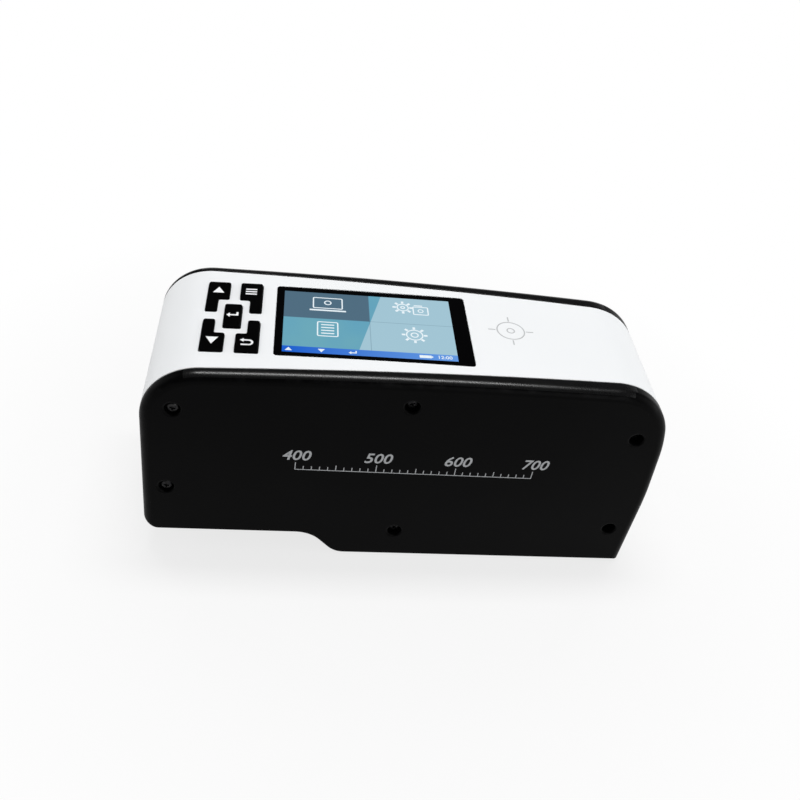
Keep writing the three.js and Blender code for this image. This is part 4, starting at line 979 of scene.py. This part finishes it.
def finishSigns(bm, name, material, matrix, body):  # flat faces become thin raised ones
    bmesh.ops.remove_doubles(bm, verts=bm.verts, dist=0.0000005)
    bmesh.ops.translate(bm, verts=bm.verts, vec=(0, 0, -signs["sunk"]))
    for face in bm.faces:
        if face.normal.z < 0:
            face.normal_flip()
    bm.normal_update()
    raiseFaces(bm, list(bm.faces), signs["height"] + signs["sunk"])
    made = placed(bm, matrix, name, material)
    return finishPiece(made, body)


screenShapes = [
    (outlineFrame, -0.0177, 0.0125, 0.0118, 0.0074, 0.0007, signs["line"]),  # a display with a ring in it
    (ringMark, -0.0177, 0.0128, 0.0015, signs["line"]),
    (bar, -0.0177, 0.0076, 0.0142, 0.0009),
    (toothedRing, 0.0121, 0.0130, 0.0025, 0.0010, signs["line"]),
    (outlineFrame, 0.0192, 0.0113, 0.0064, 0.0056, 0.0006, signs["line"]),
    (bar, 0.0184, 0.0148, 0.0034, 0.0006),
    (ringMark, 0.0192, 0.0113, 0.0012, 0.0004),
    (outlineFrame, -0.0178, -0.0046, 0.0082, 0.0094, 0.0008, signs["line"]),  # a page with lines
    *[(bar, -0.0178, v, 0.0050, 0.0006) for v in (-0.0019, -0.0037, -0.0055, -0.0073)],
    (toothedRing, 0.0156, -0.0050, 0.0034, 0.0016, signs["line"]),
    (polygon, [(-0.0336, -0.0190), (-0.0310, -0.0190), (-0.0323, -0.0171)]),  # signs in the status bar
    (polygon, [(-0.0215, -0.0172), (-0.0202, -0.0191), (-0.0189, -0.0172)]),
    (bar, -0.0083, -0.0184, 0.0024, 0.0005),
    (bar, -0.0073, -0.0178, 0.0005, 0.0013),
    (polygon, [(-0.0101, -0.0184), (-0.0091, -0.0192), (-0.0091, -0.0176)]),
    (bar, 0.0188, -0.0181, 0.0046, 0.0016),
    (bar, 0.0214, -0.0181, 0.0005, 0.0008),
]
clock = {"text": "12:00", "size": 0.0026, "place": (0.0262, -0.0181), "bold": 0.00003}


def addScreenSigns():
    bm = bmesh.new()
    drawShapes(bm, screenShapes)
    addText(bm, clock["text"], clock["size"], clock["place"], bold=clock["bold"])
    finishSigns(bm, "screen_signs", screenWhite(), displayFrame @ Matrix.Translation((0, 0, window["top"])),
                "housing")


addWindow()
addScreenSigns()
print("display made")


# Keys and the signs printed on them
keyShapes = {
    "up_key": [(polygon, [(-0.0086, 0.0144), (-0.0042, 0.0144), (-0.0064, 0.0183)])],
    "menu_key": [(bar, 0.0062, v, 0.0043, 0.0008) for v in (0.0176, 0.0160, 0.0144)],
    "down_key": [(polygon, [(-0.0086, -0.0142), (-0.0064, -0.0184), (-0.0041, -0.0142)])],
    "back_key": [
        (polygon, [(0.0038, -0.0154), (0.0052, -0.0165), (0.0052, -0.0143)]),
        (bend, 0.0070, -0.01675, 0.00135, 0.0008, 90, -30, 7),
        (bar, 0.0060, -0.0154, 0.0020, 0.0008),
        (bar, 0.0056, -0.0181, 0.0028, 0.0008),
    ],
    "enter_key": [
        (polygon, [(-0.0023, 0.0), (-0.0010, -0.0014), (-0.0010, 0.0014)]),
        (polygon, [(-0.0011, -0.0004), (0.0022, -0.0004), (0.0022, 0.0018), (0.0014, 0.0018),
                   (0.0014, 0.0004), (-0.0011, 0.0004)]),
    ],
}


def addKey(name):
    corner, low = keypad["corner"], keypad["flangeLow"]
    cap = prism(keyPoints(name, 0), low + keypad["capLift"], keypad["proud"], corner,
                topRound=keypad["edgeRound"])
    flange = prism(keyPoints(name, keypad["flangeWidth"]), low, keypad["flangeTop"], corner)
    key = placed(cap, keypadFrame, name + "_cap", materials["keyPlastic"])
    boolean(key, "UNION", placed(flange, keypadFrame, "flange"))
    finishPiece(key, name + "_body", [name])
    bm = bmesh.new()
    drawShapes(bm, keyShapes[name])
    finishSigns(bm, name + "_sign", materials["signPaint"],
                keypadFrame @ Matrix.Translation((0, 0, keypad["proud"])), name + "_body")


for name in keyShapes:
    addKey(name)
print("keys made")


# Screws
sideScrew = {
    "headRadius": 0.0023, "headHeight": 0.0018, "shankRadius": 0.0012, "bite": 0.0093, "pitch": 0.0008,
    "core": 0.00095, "slotLength": 0.0028, "slotWidth": 0.0008, "slotDepth": 0.0009, "lift": 0.0023,
    "turnEach": 37, "turnSide": 11,  # degrees, so that no two slots stand alike
}


def threadedShank(radius, core, start, end, pitch):  # profile points from the head down to the tip
    points = [(core, start)]
    turns = int(abs(end - start) / pitch) - 1
    for step in range(turns):
        height = start + (end - start) * (step + 0.5) / (turns + 1)
        points += [(core, height), (radius, height + (end - start) * 0.25 / (turns + 1)),
                   (core, height + (end - start) * 0.5 / (turns + 1))]
    return points + [(core, end - (end - start) * 0.06), (core * 0.3, end), (0, end)]


def screwMesh(screw, head, start, end, finish, cuts):
    profilePoints = head + threadedShank(screw["shankRadius"], screw["core"], start, end, screw["pitch"])
    made = toObject(turned(profilePoints, 28), "screw", materials[finish])
    boolean(made, "DIFFERENCE", *cuts)
    mesh = made.data
    bpy.data.objects.remove(made)
    return mesh


def crossSlots(screw, low, high, sunk=()):  # two crossed slots, which narrow below the height given by sunk
    slots = []
    for turn in (0, 90):
        slot = prism(oblongPoints(screw["slotLength"], screw["slotWidth"]), low, high)
        for height in sunk:
            bmesh.ops.scale(slot, vec=(0.6, 0.8, 1), verts=[v for v in slot.verts if v.co.z < height])
        slots.append(placed(slot, Matrix.Rotation(math.radians(turn), 4, "Z"), "slot"))
    return slots


def placeScrews(mesh, places):  # a copy of the mesh for each piece's name, frame and node
    for name, matrix, node in places:
        made = mesh.copy()
        made.name = name
        made.transform(matrix)
        piece = bpy.data.objects.new(name, made)
        scene.collection.objects.link(piece)
        finishPiece(piece, "housing", [node])
    bpy.data.meshes.remove(mesh)


def upright(spots, name, node):
    return [(f"{name}_{i + 1}", Matrix.Translation((x, y, 0)), f"{node}_{i + 1}")
            for i, (x, y) in enumerate(spots)]


def addSideScrews():
    r, h = sideScrew["headRadius"], sideScrew["headHeight"]
    head = [(0, h), (0.45 * r, 0.985 * h), (0.72 * r, 0.92 * h), (0.89 * r, 0.78 * h), (0.97 * r, 0.58 * h),
            (r, 0.35 * h), (r, 0.08 * h), (0.96 * r, 0)]
    slots = crossSlots(sideScrew, h - sideScrew["slotDepth"], h + 0.001, sunk=[h])
    mesh = screwMesh(sideScrew, head, 0, -sideScrew["bite"], "blackenedSteel", slots)
    places = []
    for label, side in (("right", -1), ("left", 1)):
        for i, (x, z) in enumerate(screwSpots):
            lift = Matrix.Translation((0, 0, seamAt(x) + sideScrew["lift"]))
            angle = math.radians(sideScrew["turnEach"] * i + sideScrew["turnSide"] * side)
            spin = Matrix.Rotation(angle, 4, "Z")
            places.append((f"{label}_cover_screw_{i + 1}", outwardsAt(x, z, side) @ lift @ spin,
                           f"{label}_screw_{i + 1}"))
    placeScrews(mesh, places)


baseScrew = {
    "headRadius": 0.0025, "headLow": 0.0008, "headTop": 0.0028, "hexRadius": 0.0012, "hexDepth": 0.0012,
    "shankRadius": 0.0012, "core": 0.00098, "tip": 0.0290, "pitch": 0.0009,
}
doorScrew = {
    "headRadius": 0.0017, "headLow": 0.01195, "headTop": 0.01225, "shankRadius": 0.0009, "core": 0.0007,
    "tip": 0.0179, "pitch": 0.0006, "slotLength": 0.0018, "slotWidth": 0.0005, "slotDepth": 0.00022,
}


def addBaseScrews():
    r, low, top = baseScrew["headRadius"], baseScrew["headLow"], baseScrew["headTop"]
    head = [(0, low), (0.9 * r, low), (0.97 * r, low + 0.0001), (r, low + 0.0003), (r, top - 0.0001),
            (0.97 * r, top)]
    hexagon = bmesh.new()
    bmesh.ops.create_cone(hexagon, cap_ends=True, segments=6, radius1=baseScrew["hexRadius"],
                          radius2=baseScrew["hexRadius"], depth=2 * baseScrew["hexDepth"],
                          matrix=Matrix.Translation((0, 0, low)))
    mesh = screwMesh(baseScrew, head, top, baseScrew["tip"], "screwSteel", [toObject(hexagon, "hexagon")])
    placeScrews(mesh, upright(baseScrewSpots, "sphere_clamp_screw", "base_screw"))


def addDoorScrews():
    r, low, top = doorScrew["headRadius"], doorScrew["headLow"], doorScrew["headTop"]
    head = [(0, low), (0.9 * r, low), (r, low + 0.00008), (r, top - 0.00006), (0.94 * r, top)]
    slots = crossSlots(doorScrew, low - 0.001, low + doorScrew["slotDepth"])
    mesh = screwMesh(doorScrew, head, top, doorScrew["tip"], "screwSteel", slots)
    placeScrews(mesh, upright(doorScrewSpots, "battery_door_screw", "door_screw"))


addSideScrews()
addBaseScrews()
addDoorScrews()
print("screws made")


# Underside: battery door and aperture ring
door = {"grooves": 5, "grooveLength": 0.022, "grooveWidth": 0.0012, "grooveDepth": 0.0004, "grooveX": -0.0475,
        "groovePitch": 0.0024, "holeRadius": 0.0012, "headHole": 0.002, "headDepth": 0.0006,
        "edgeRound": 0.00025, "grooveRound": 0.0002, "headFlare": 0.0002, "holeFlare": 0.00005,
        "holeDepth": 0.002}
apertureProfile = [  # radius and height
    (0.0041, 0.0001), (0.0060, 0.00022), (0.0064, 0.0001), (0.0128, 0.0001), (0.01308, 0.00018),
    (0.0132, 0.00038), (0.0132, 0.0009), (0.0131, 0.0010), (0.0100, 0.0010), (0.0100, 0.0039),
    (0.0099, 0.0040), (0.0058, 0.0040), (0.0040, 0.00022),
]


def addBatteryDoor():
    under = profile["undersideHeight"]
    bm = prism(oblongPoints(base["doorLength"], base["doorWidth"], base["doorX"]), under,
               under + base["doorThickness"], base["doorCorner"], bottomRound=door["edgeRound"])
    plate = toObject(bm, "battery_door_plate", materials["coverPlastic"])
    tools = []
    for x, y in doorScrewSpots:
        tools.append(downwardBore(x, y, door["headHole"], door["headDepth"], under, door["headFlare"]))
        tools.append(downwardBore(x, y, door["holeRadius"], door["holeDepth"], under + door["headDepth"],
                                  door["holeFlare"]))
    for step in range(door["grooves"]):
        x = door["grooveX"] - door["groovePitch"] * step
        groove = prism(oblongPoints(door["grooveWidth"], door["grooveLength"], x), under - 0.001,
                       under + door["grooveDepth"], door["grooveWidth"] * 0.45, topRound=door["grooveRound"],
                       steps=3)
        tools.append(toObject(groove, "groove"))
    boolean(plate, "DIFFERENCE", *tools)
    finishPiece(plate, "housing", ["battery_door"])


def addApertureRing():
    made = placed(turned(apertureProfile, 64), Matrix.Translation((base["opticsX"], 0, 0)),
                  "aperture_insert", materials["coverPlastic"])
    finishPiece(made, "housing", ["aperture_ring"])


addBatteryDoor()
addApertureRing()
print("underside made")


# Rear panel: a socket plate, two sockets and the power switch
usb = {"z": 0.0326, "width": 0.009, "thickness": 0.0033, "depth": 0.0075, "shell": 0.00035,
       "bladeWidth": 0.0066, "bladeThickness": 0.0007, "backWall": 0.0015, "cornerShare": 0.49,
       "edgeRound": 0.0001, "bladeCorner": 0.0002, "bladeRound": 0.00015}
jack = {"z": 0.041, "side": 0.009, "depth": 0.0075, "corner": 0.0005, "bore": 0.0031, "pin": 0.001,
        "pinRecess": 0.00035, "backWall": 0.0015, "edgeRound": 0.0003, "boreFlare": 0.0003}
rocker = {
    "z": 0.0544, "bezelWidth": 0.0105, "bezelHeight": 0.015, "bezelFront": 0.0015, "bezelBack": 0.0003,
    "bodyWidth": 0.0086, "bodyHeight": 0.0132, "bodyCorner": 0.0004, "cavityWidth": 0.007,
    "cavityHeight": 0.0117, "cavityDepth": 0.0074, "paddleWidth": 0.0064, "paddleHeight": 0.0104,
    "front": 0.0027, "back": 0.0022, "bezelCorner": 0.0008, "bezelRound": 0.0004, "cavityFlare": 0.0003,
    "edgeRound": 0.0003, "pinSlack": 0.00015, "dish": 0.0009, "ridge": 0.0003, "pin": 0.0009,
    "pivotDepth": 0.0015, "tilt": 7,
    "markShare": 0.55, "onMark": (0.0022, 0.0004), "offMark": (0.0011, 0.0004),
}


def addPortPanel():
    front = ports["panelFront"]
    place = rearFacing(front, ports["centreZ"])
    bm = prism(oblongPoints(ports["panelHeight"], ports["panelWidth"]), -ports["panelThickness"], 0,
               ports["panelCorner"], topRound=ports["panelRound"])
    panel = placed(bm, place, "socket_plate", materials["portPlastic"])
    inner = boolean(mergedCopy("port_panel"), "INTERSECT",
                    blockTool((front + 0.0008, -0.02, 0.02), (front + 0.02, 0.02, 0.07)))
    boolean(panel, "UNION", inner)
    slack = ports["slack"]
    openings = [
        (usb["thickness"], usb["width"], (usb["thickness"] + slack) * usb["cornerShare"], usb["z"]),
        (jack["side"], jack["side"], jack["corner"] + 0.0001, jack["z"]),
        (rocker["bodyHeight"], rocker["bodyWidth"], rocker["bodyCorner"], rocker["z"]),
    ]
    tools = [mouthTool(oblongPoints(tall + slack, wide + slack), -ports["cutDepth"], corner,
                       ports["panelFlare"], rearFacing(front, z)) for tall, wide, corner, z in openings]
    boolean(panel, "DIFFERENCE", *tools)
    finishPiece(panel, "housing", ["port_panel"])


def addUsbPort():
    place = rearFacing(ports["panelFront"], usb["z"])
    corner = usb["thickness"] * usb["cornerShare"]
    outside = prism(oblongPoints(usb["thickness"], usb["width"]), -usb["depth"], 0, corner,
                    topRound=usb["edgeRound"], steps=8)
    shell = placed(outside, place, "usb_shell", materials["socketMetal"])
    inner = 2 * usb["shell"]
    mouth = prism(oblongPoints(usb["thickness"] - inner, usb["width"] - inner),
                  usb["backWall"] - usb["depth"], 0.001, corner - usb["shell"], steps=8)
    boolean(shell, "DIFFERENCE", placed(mouth, place, "mouth"))
    blade = prism(oblongPoints(usb["bladeThickness"], usb["bladeWidth"]), usb["backWall"] / 2 - usb["depth"],
                  -usb["shell"], usb["bladeCorner"], topRound=usb["bladeRound"])
    boolean(shell, "UNION", placed(blade, place, "blade"))
    finishPiece(shell, "housing", ["usb_port"])


def addPowerJack():
    place = rearFacing(ports["panelFront"], jack["z"])
    block = prism(oblongPoints(jack["side"], jack["side"]), -jack["depth"], 0, jack["corner"],
                  topRound=jack["edgeRound"])
    housing = placed(block, place, "power_jack", materials["innerPlastic"])
    bore = turned(boreProfile(jack["bore"], jack["backWall"] - jack["depth"], 0, jack["boreFlare"]), 40)
    boolean(housing, "DIFFERENCE", placed(bore, place, "bore"))
    pin, low, high = jack["pin"], jack["backWall"] / 2 - jack["depth"], -jack["pinRecess"]
    tip = [(pin, high - 0.0006), (0.85 * pin, high - 0.0002), (0.5 * pin, high), (0, high)]
    boolean(housing, "UNION", placed(turned([(0, low), (pin, low)] + tip, 24), place, "pin"))
    finishPiece(housing, "housing", ["dc_jack"])


def addPowerSwitch():
    place = rearFacing(ports["panelFront"], rocker["z"])
    bezel = prism(oblongPoints(rocker["bezelHeight"], rocker["bezelWidth"]), rocker["bezelBack"],
                  rocker["bezelFront"], rocker["bezelCorner"], topRound=rocker["bezelRound"])
    housing = placed(bezel, place, "switch_housing", materials["portPlastic"])
    behind = mergedCopy("power_switch")
    front = ports["panelFront"]
    inner = blockTool((front - 0.001, -0.01, 0.04), (front + 0.02, 0.01, 0.07))
    boolean(housing, "UNION", boolean(behind, "INTERSECT", inner))
    cavity = mouthTool(oblongPoints(rocker["cavityHeight"], rocker["cavityWidth"]), -rocker["cavityDepth"],
                       rocker["bodyCorner"], rocker["cavityFlare"],
                       place @ Matrix.Translation((0, 0, rocker["bezelFront"])))
    boolean(housing, "DIFFERENCE", cavity)
    finishPiece(housing, "housing", ["power_switch"])


def addRocker():
    front, back, tall = rocker["front"], rocker["back"], rocker["paddleHeight"] / 2
    ridge, valley = rocker["ridge"], rocker["front"] - rocker["dish"]
    side = [(tall, -back), (tall, front), (ridge, valley), (-ridge, valley), (-tall, front), (-tall, -back)]
    bm = bmesh.new()
    verts = [bm.verts.new((up, -rocker["paddleWidth"] / 2, out)) for up, out in side]
    face = bm.faces.new(verts)
    made = bmesh.ops.extrude_face_region(bm, geom=[face])
    lifted = [item for item in made["geom"] if isinstance(item, bmesh.types.BMVert)]
    bmesh.ops.translate(bm, verts=lifted, vec=(0, rocker["paddleWidth"], 0))
    roundEdges(bm, [e for e in bm.edges if max(v.co.z for v in e.verts) > 0], rocker["edgeRound"])
    pivot = Matrix.Translation((ports["panelFront"] + rocker["pivotDepth"], 0, rocker["z"]))
    tilt = Matrix.Rotation(math.radians(-rocker["tilt"]), 4, "Y")
    place = pivot @ tilt @ rearFacing(0, 0)
    paddle = placed(bm, place, "switch_paddle", materials["keyPlastic"])
    half = rocker["bodyWidth"] / 2 - rocker["pinSlack"]
    pin = turned([(0, -half), (rocker["pin"], -half), (rocker["pin"], half), (0, half)], 24)
    boolean(paddle, "UNION", placed(pin, pivot @ Matrix.Rotation(math.radians(90), 4, "X"), "pin"))
    finishPiece(paddle, "rocker_body", ["power_rocker"])
    slope = math.atan2(rocker["dish"], tall - ridge)
    up = tall * rocker["markShare"]
    out = front - rocker["dish"] * (1 - (up - ridge) / (tall - ridge))
    marks = {"on": (1, bar, *rocker["onMark"]), "off": (-1, ringMark, *rocker["offMark"], 32)}
    for label, (end, draw, *sizes) in marks.items():
        bm = bmesh.new()
        draw(bm, 0, 0, *sizes)
        onFace = Matrix.Translation((end * up, 0, out)) @ Matrix.Rotation(-end * slope, 4, "Y")
        finishSigns(bm, f"switch_{label}_mark", materials["signPaint"], place @ onFace, "rocker_body")


addPortPanel()
addUsbPort()
addPowerJack()
addPowerSwitch()
addRocker()
print("rear panel made")


# Plain marks: a scale on the near side, a target over the optics
scale = {"startX": -0.0446, "endX": 0.0495, "baseZ": 0.0492, "figures": ("400", "500", "600", "700"),
         "ticksEach": 10, "longTick": 0.0036, "midTick": 0.0026, "shortTick": 0.0017, "line": 0.00035,
         "figureSize": 0.0072, "figureLift": 0.0072, "figureLean": 0.2, "figureBold": 0.0001}


def onNearSide():  # local X runs to the nose, local Y up, on the sloping near face
    lean = (body["noseWidth"] - body["rearWidth"]) / (2 * body["length"])
    turn = Matrix.Rotation(math.radians(90), 4, "X")
    slope = Matrix.Rotation(-math.atan(lean), 4, "Z")
    return Matrix.Translation((0, -sideAt(0), 0)) @ slope @ turn


def addScale():
    bm = bmesh.new()
    steps = (len(scale["figures"]) - 1) * scale["ticksEach"]
    length = scale["endX"] - scale["startX"]
    low = scale["baseZ"]
    bar(bm, (scale["startX"] + scale["endX"]) / 2, low, length + scale["line"], scale["line"])
    for step in range(steps + 1):
        if step % scale["ticksEach"] == 0:
            tall = scale["longTick"]
        elif step % (scale["ticksEach"] // 2) == 0:
            tall = scale["midTick"]
        else:
            tall = scale["shortTick"]
        bar(bm, scale["startX"] + length * step / steps, low + scale["line"] / 2 + tall / 2 + 0.00001,
            scale["line"], tall)
    for i, figure in enumerate(scale["figures"]):
        x = scale["startX"] + length * i / (len(scale["figures"]) - 1)
        addText(bm, figure, scale["figureSize"], (x, low + scale["figureLift"]), scale["figureLean"],
                scale["figureBold"])
    finishSigns(bm, "side_scale", materials["silverPaint"], onNearSide(), "housing")


target = {"x": 0.0365, "y": 0.0025, "radius": 0.0058, "line": 0.0005, "arm": 0.0030, "innerShare": 0.3,
          "armGap": 0.0004}


def addTarget():
    bm = bmesh.new()
    ringMark(bm, 0, 0, target["radius"], target["line"], 64)
    ringMark(bm, 0, 0, target["radius"] * target["innerShare"], target["line"], 40)
    for step in range(4):
        angle = math.radians(90) * step
        reach = target["radius"] + target["arm"] / 2 + target["armGap"]
        bar(bm, reach * math.cos(angle), reach * math.sin(angle), target["arm"], target["line"], angle)
    finishSigns(bm, "aiming_mark", materials["greyPaint"],
                topFrame(target["x"]) @ Matrix.Translation((0, target["y"], 0)), "housing")


addScale()
addTarget()
print("marks made")


# Finishes of the inner pieces that keep their CAD shape
innerFinishes = {
    "anodisedBlack": ("lens_barrel", "spectrometer_housing", "spectrometer_cover"),
    "lensGlass": ("objective_lens",),
    "gratingFoil": ("diffraction_grating",),
    "boardGreen": ("keypad_board", "main_board", "lamp_board", "sensor_board", "port_board"),
    "sphereWhite": ("sphere_upper", "sphere_lower"),
    "innerPlastic": ("lcd_tray", "up_switch", "menu_switch", "down_switch", "back_switch", "enter_switch"),
    "sealRubber": ("port_gasket",),
    "batteryWrap": ("battery_pack",),
    "panelFoil": ("lcd_panel",),
    "screwSteel": ("board_screw_1", "board_screw_2", "board_screw_3", "board_screw_4"),
}
for finish, nodeNames in innerFinishes.items():
    for name in nodeNames:
        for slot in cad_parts[name].material_slots:
            slot.material = materials[finish]
print("inner pieces finished")


# Floor, world and lamps
studio = {
    "floorSize": 12.0, "floorColor": 0.80, "floorShow": 0.76, "shadowReach": (0.10, 0.24), "ambient": 0.29,
    "floorDrop": 0.0002, "horizon": (1.0, 1.0, 1.0), "zenith": (0.06, 0.06, 0.063), "zenithFrom": 0.3,
    "lamps": {
        "front": {"place": (0.42, -0.88, 0.42), "aim": (0, 0, 0.04), "size": (0.55, 0.55), "watts": 2.2},
        "rear": {"place": (-0.95, 0.15, 0.45), "aim": (0, 0, 0.05), "size": (0.70, 0.70), "watts": 1.9},
        "nose": {"place": (0.95, -0.10, 0.40), "aim": (0, 0, 0.05), "size": (0.70, 0.70), "watts": 1.8},
        "strip": {"place": (0.005, 0.11, 0.90), "aim": (0.005, 0, 0.09), "size": (0.55, 0.14), "watts": 4.9},
    },
}


def seenDirectly(nodes):  # 1 for what the camera, a reflection or glass sees
    path = nodes.add("LightPath").outputs
    shown = nodes.calc("MAXIMUM", path["Is Camera Ray"], path["Is Glossy Ray"])
    return nodes.calc("MAXIMUM", shown, path["Is Transmission Ray"]), path["Is Camera Ray"]


def mixShaders(nodes, factor, first, second):
    node = nodes.add("MixShader")
    for socket, value in zip(node.inputs, (factor, first, second)):
        nodes.feed(socket, value)
    return node.outputs["Shader"]


def addFloor():
    color = studio["floorColor"]
    bm = bmesh.new()
    bmesh.ops.create_grid(bm, x_segments=1, y_segments=1, size=studio["floorSize"] / 2,
                          matrix=Matrix.Translation((0, 0, -studio["floorDrop"])))
    material, nodes, shader = startMaterial("paleFloor", (color,) * 3, 0.9, specular=0.0)
    nodes.feed(shader.inputs["Base Color"], nodes.ranged(nodes.noise(60, 3), color - 0.01, color))
    away = nodes.add("VectorMath", operation="LENGTH")
    nodes.feed(away.inputs[0], nodes.space())
    fade = nodes.ranged(away.outputs["Value"], studio["floorShow"], 1, *studio["shadowReach"])
    white = nodes.calc("MULTIPLY", seenDirectly(nodes)[0], fade)
    shown = mixShaders(nodes, white, shader.outputs["BSDF"], nodes.add("Emission").outputs["Emission"])
    nodes.feed(nodes.tree.nodes["Material Output"].inputs["Surface"], shown)
    material.cycles.emission_sampling = "NONE"  # its glow lights nothing
    toObject(bm, "floor", material)


def setWorld():
    scene.world = bpy.data.worlds.new("studio")
    nodes = Nodes(scene.world)

    def background(color, node=None):
        node = node or nodes.add("Background")
        nodes.feed(node.inputs["Color"], color)
        return node

    dim = background((1, 1, 1), nodes.tree.nodes["Background"])
    dim.inputs["Strength"].default_value = studio["ambient"]
    split = nodes.add("SeparateXYZ")
    nodes.feed(split.inputs["Vector"], nodes.add("TexCoord").outputs["Generated"])
    height = nodes.ranged(split.outputs["Z"], 0, 1, 0.0, studio["zenithFrom"])
    sky = background(nodes.blend(height, studio["horizon"], studio["zenith"]))
    shown, byCamera = seenDirectly(nodes)
    reflected = mixShaders(nodes, byCamera, sky.outputs[0], background((1, 1, 1)).outputs[0])
    nodes.feed(nodes.tree.nodes["World Output"].inputs["Surface"],
               mixShaders(nodes, shown, dim.outputs[0], reflected))


def addLamps():
    for name, lamp in studio["lamps"].items():
        data = bpy.data.lights.new(name, "AREA")
        data.energy = lamp["watts"]
        data.shape = "RECTANGLE"
        data.size, data.size_y = lamp["size"]
        made = bpy.data.objects.new(name + "Lamp", data)
        aim = Vector(lamp["aim"]) - Vector(lamp["place"])
        turn = aim.to_track_quat("-Z", "Y").to_matrix().to_4x4()
        made.matrix_world = Matrix.Translation(lamp["place"]) @ turn
        scene.collection.objects.link(made)


addFloor()
setWorld()
addLamps()
print("studio set")
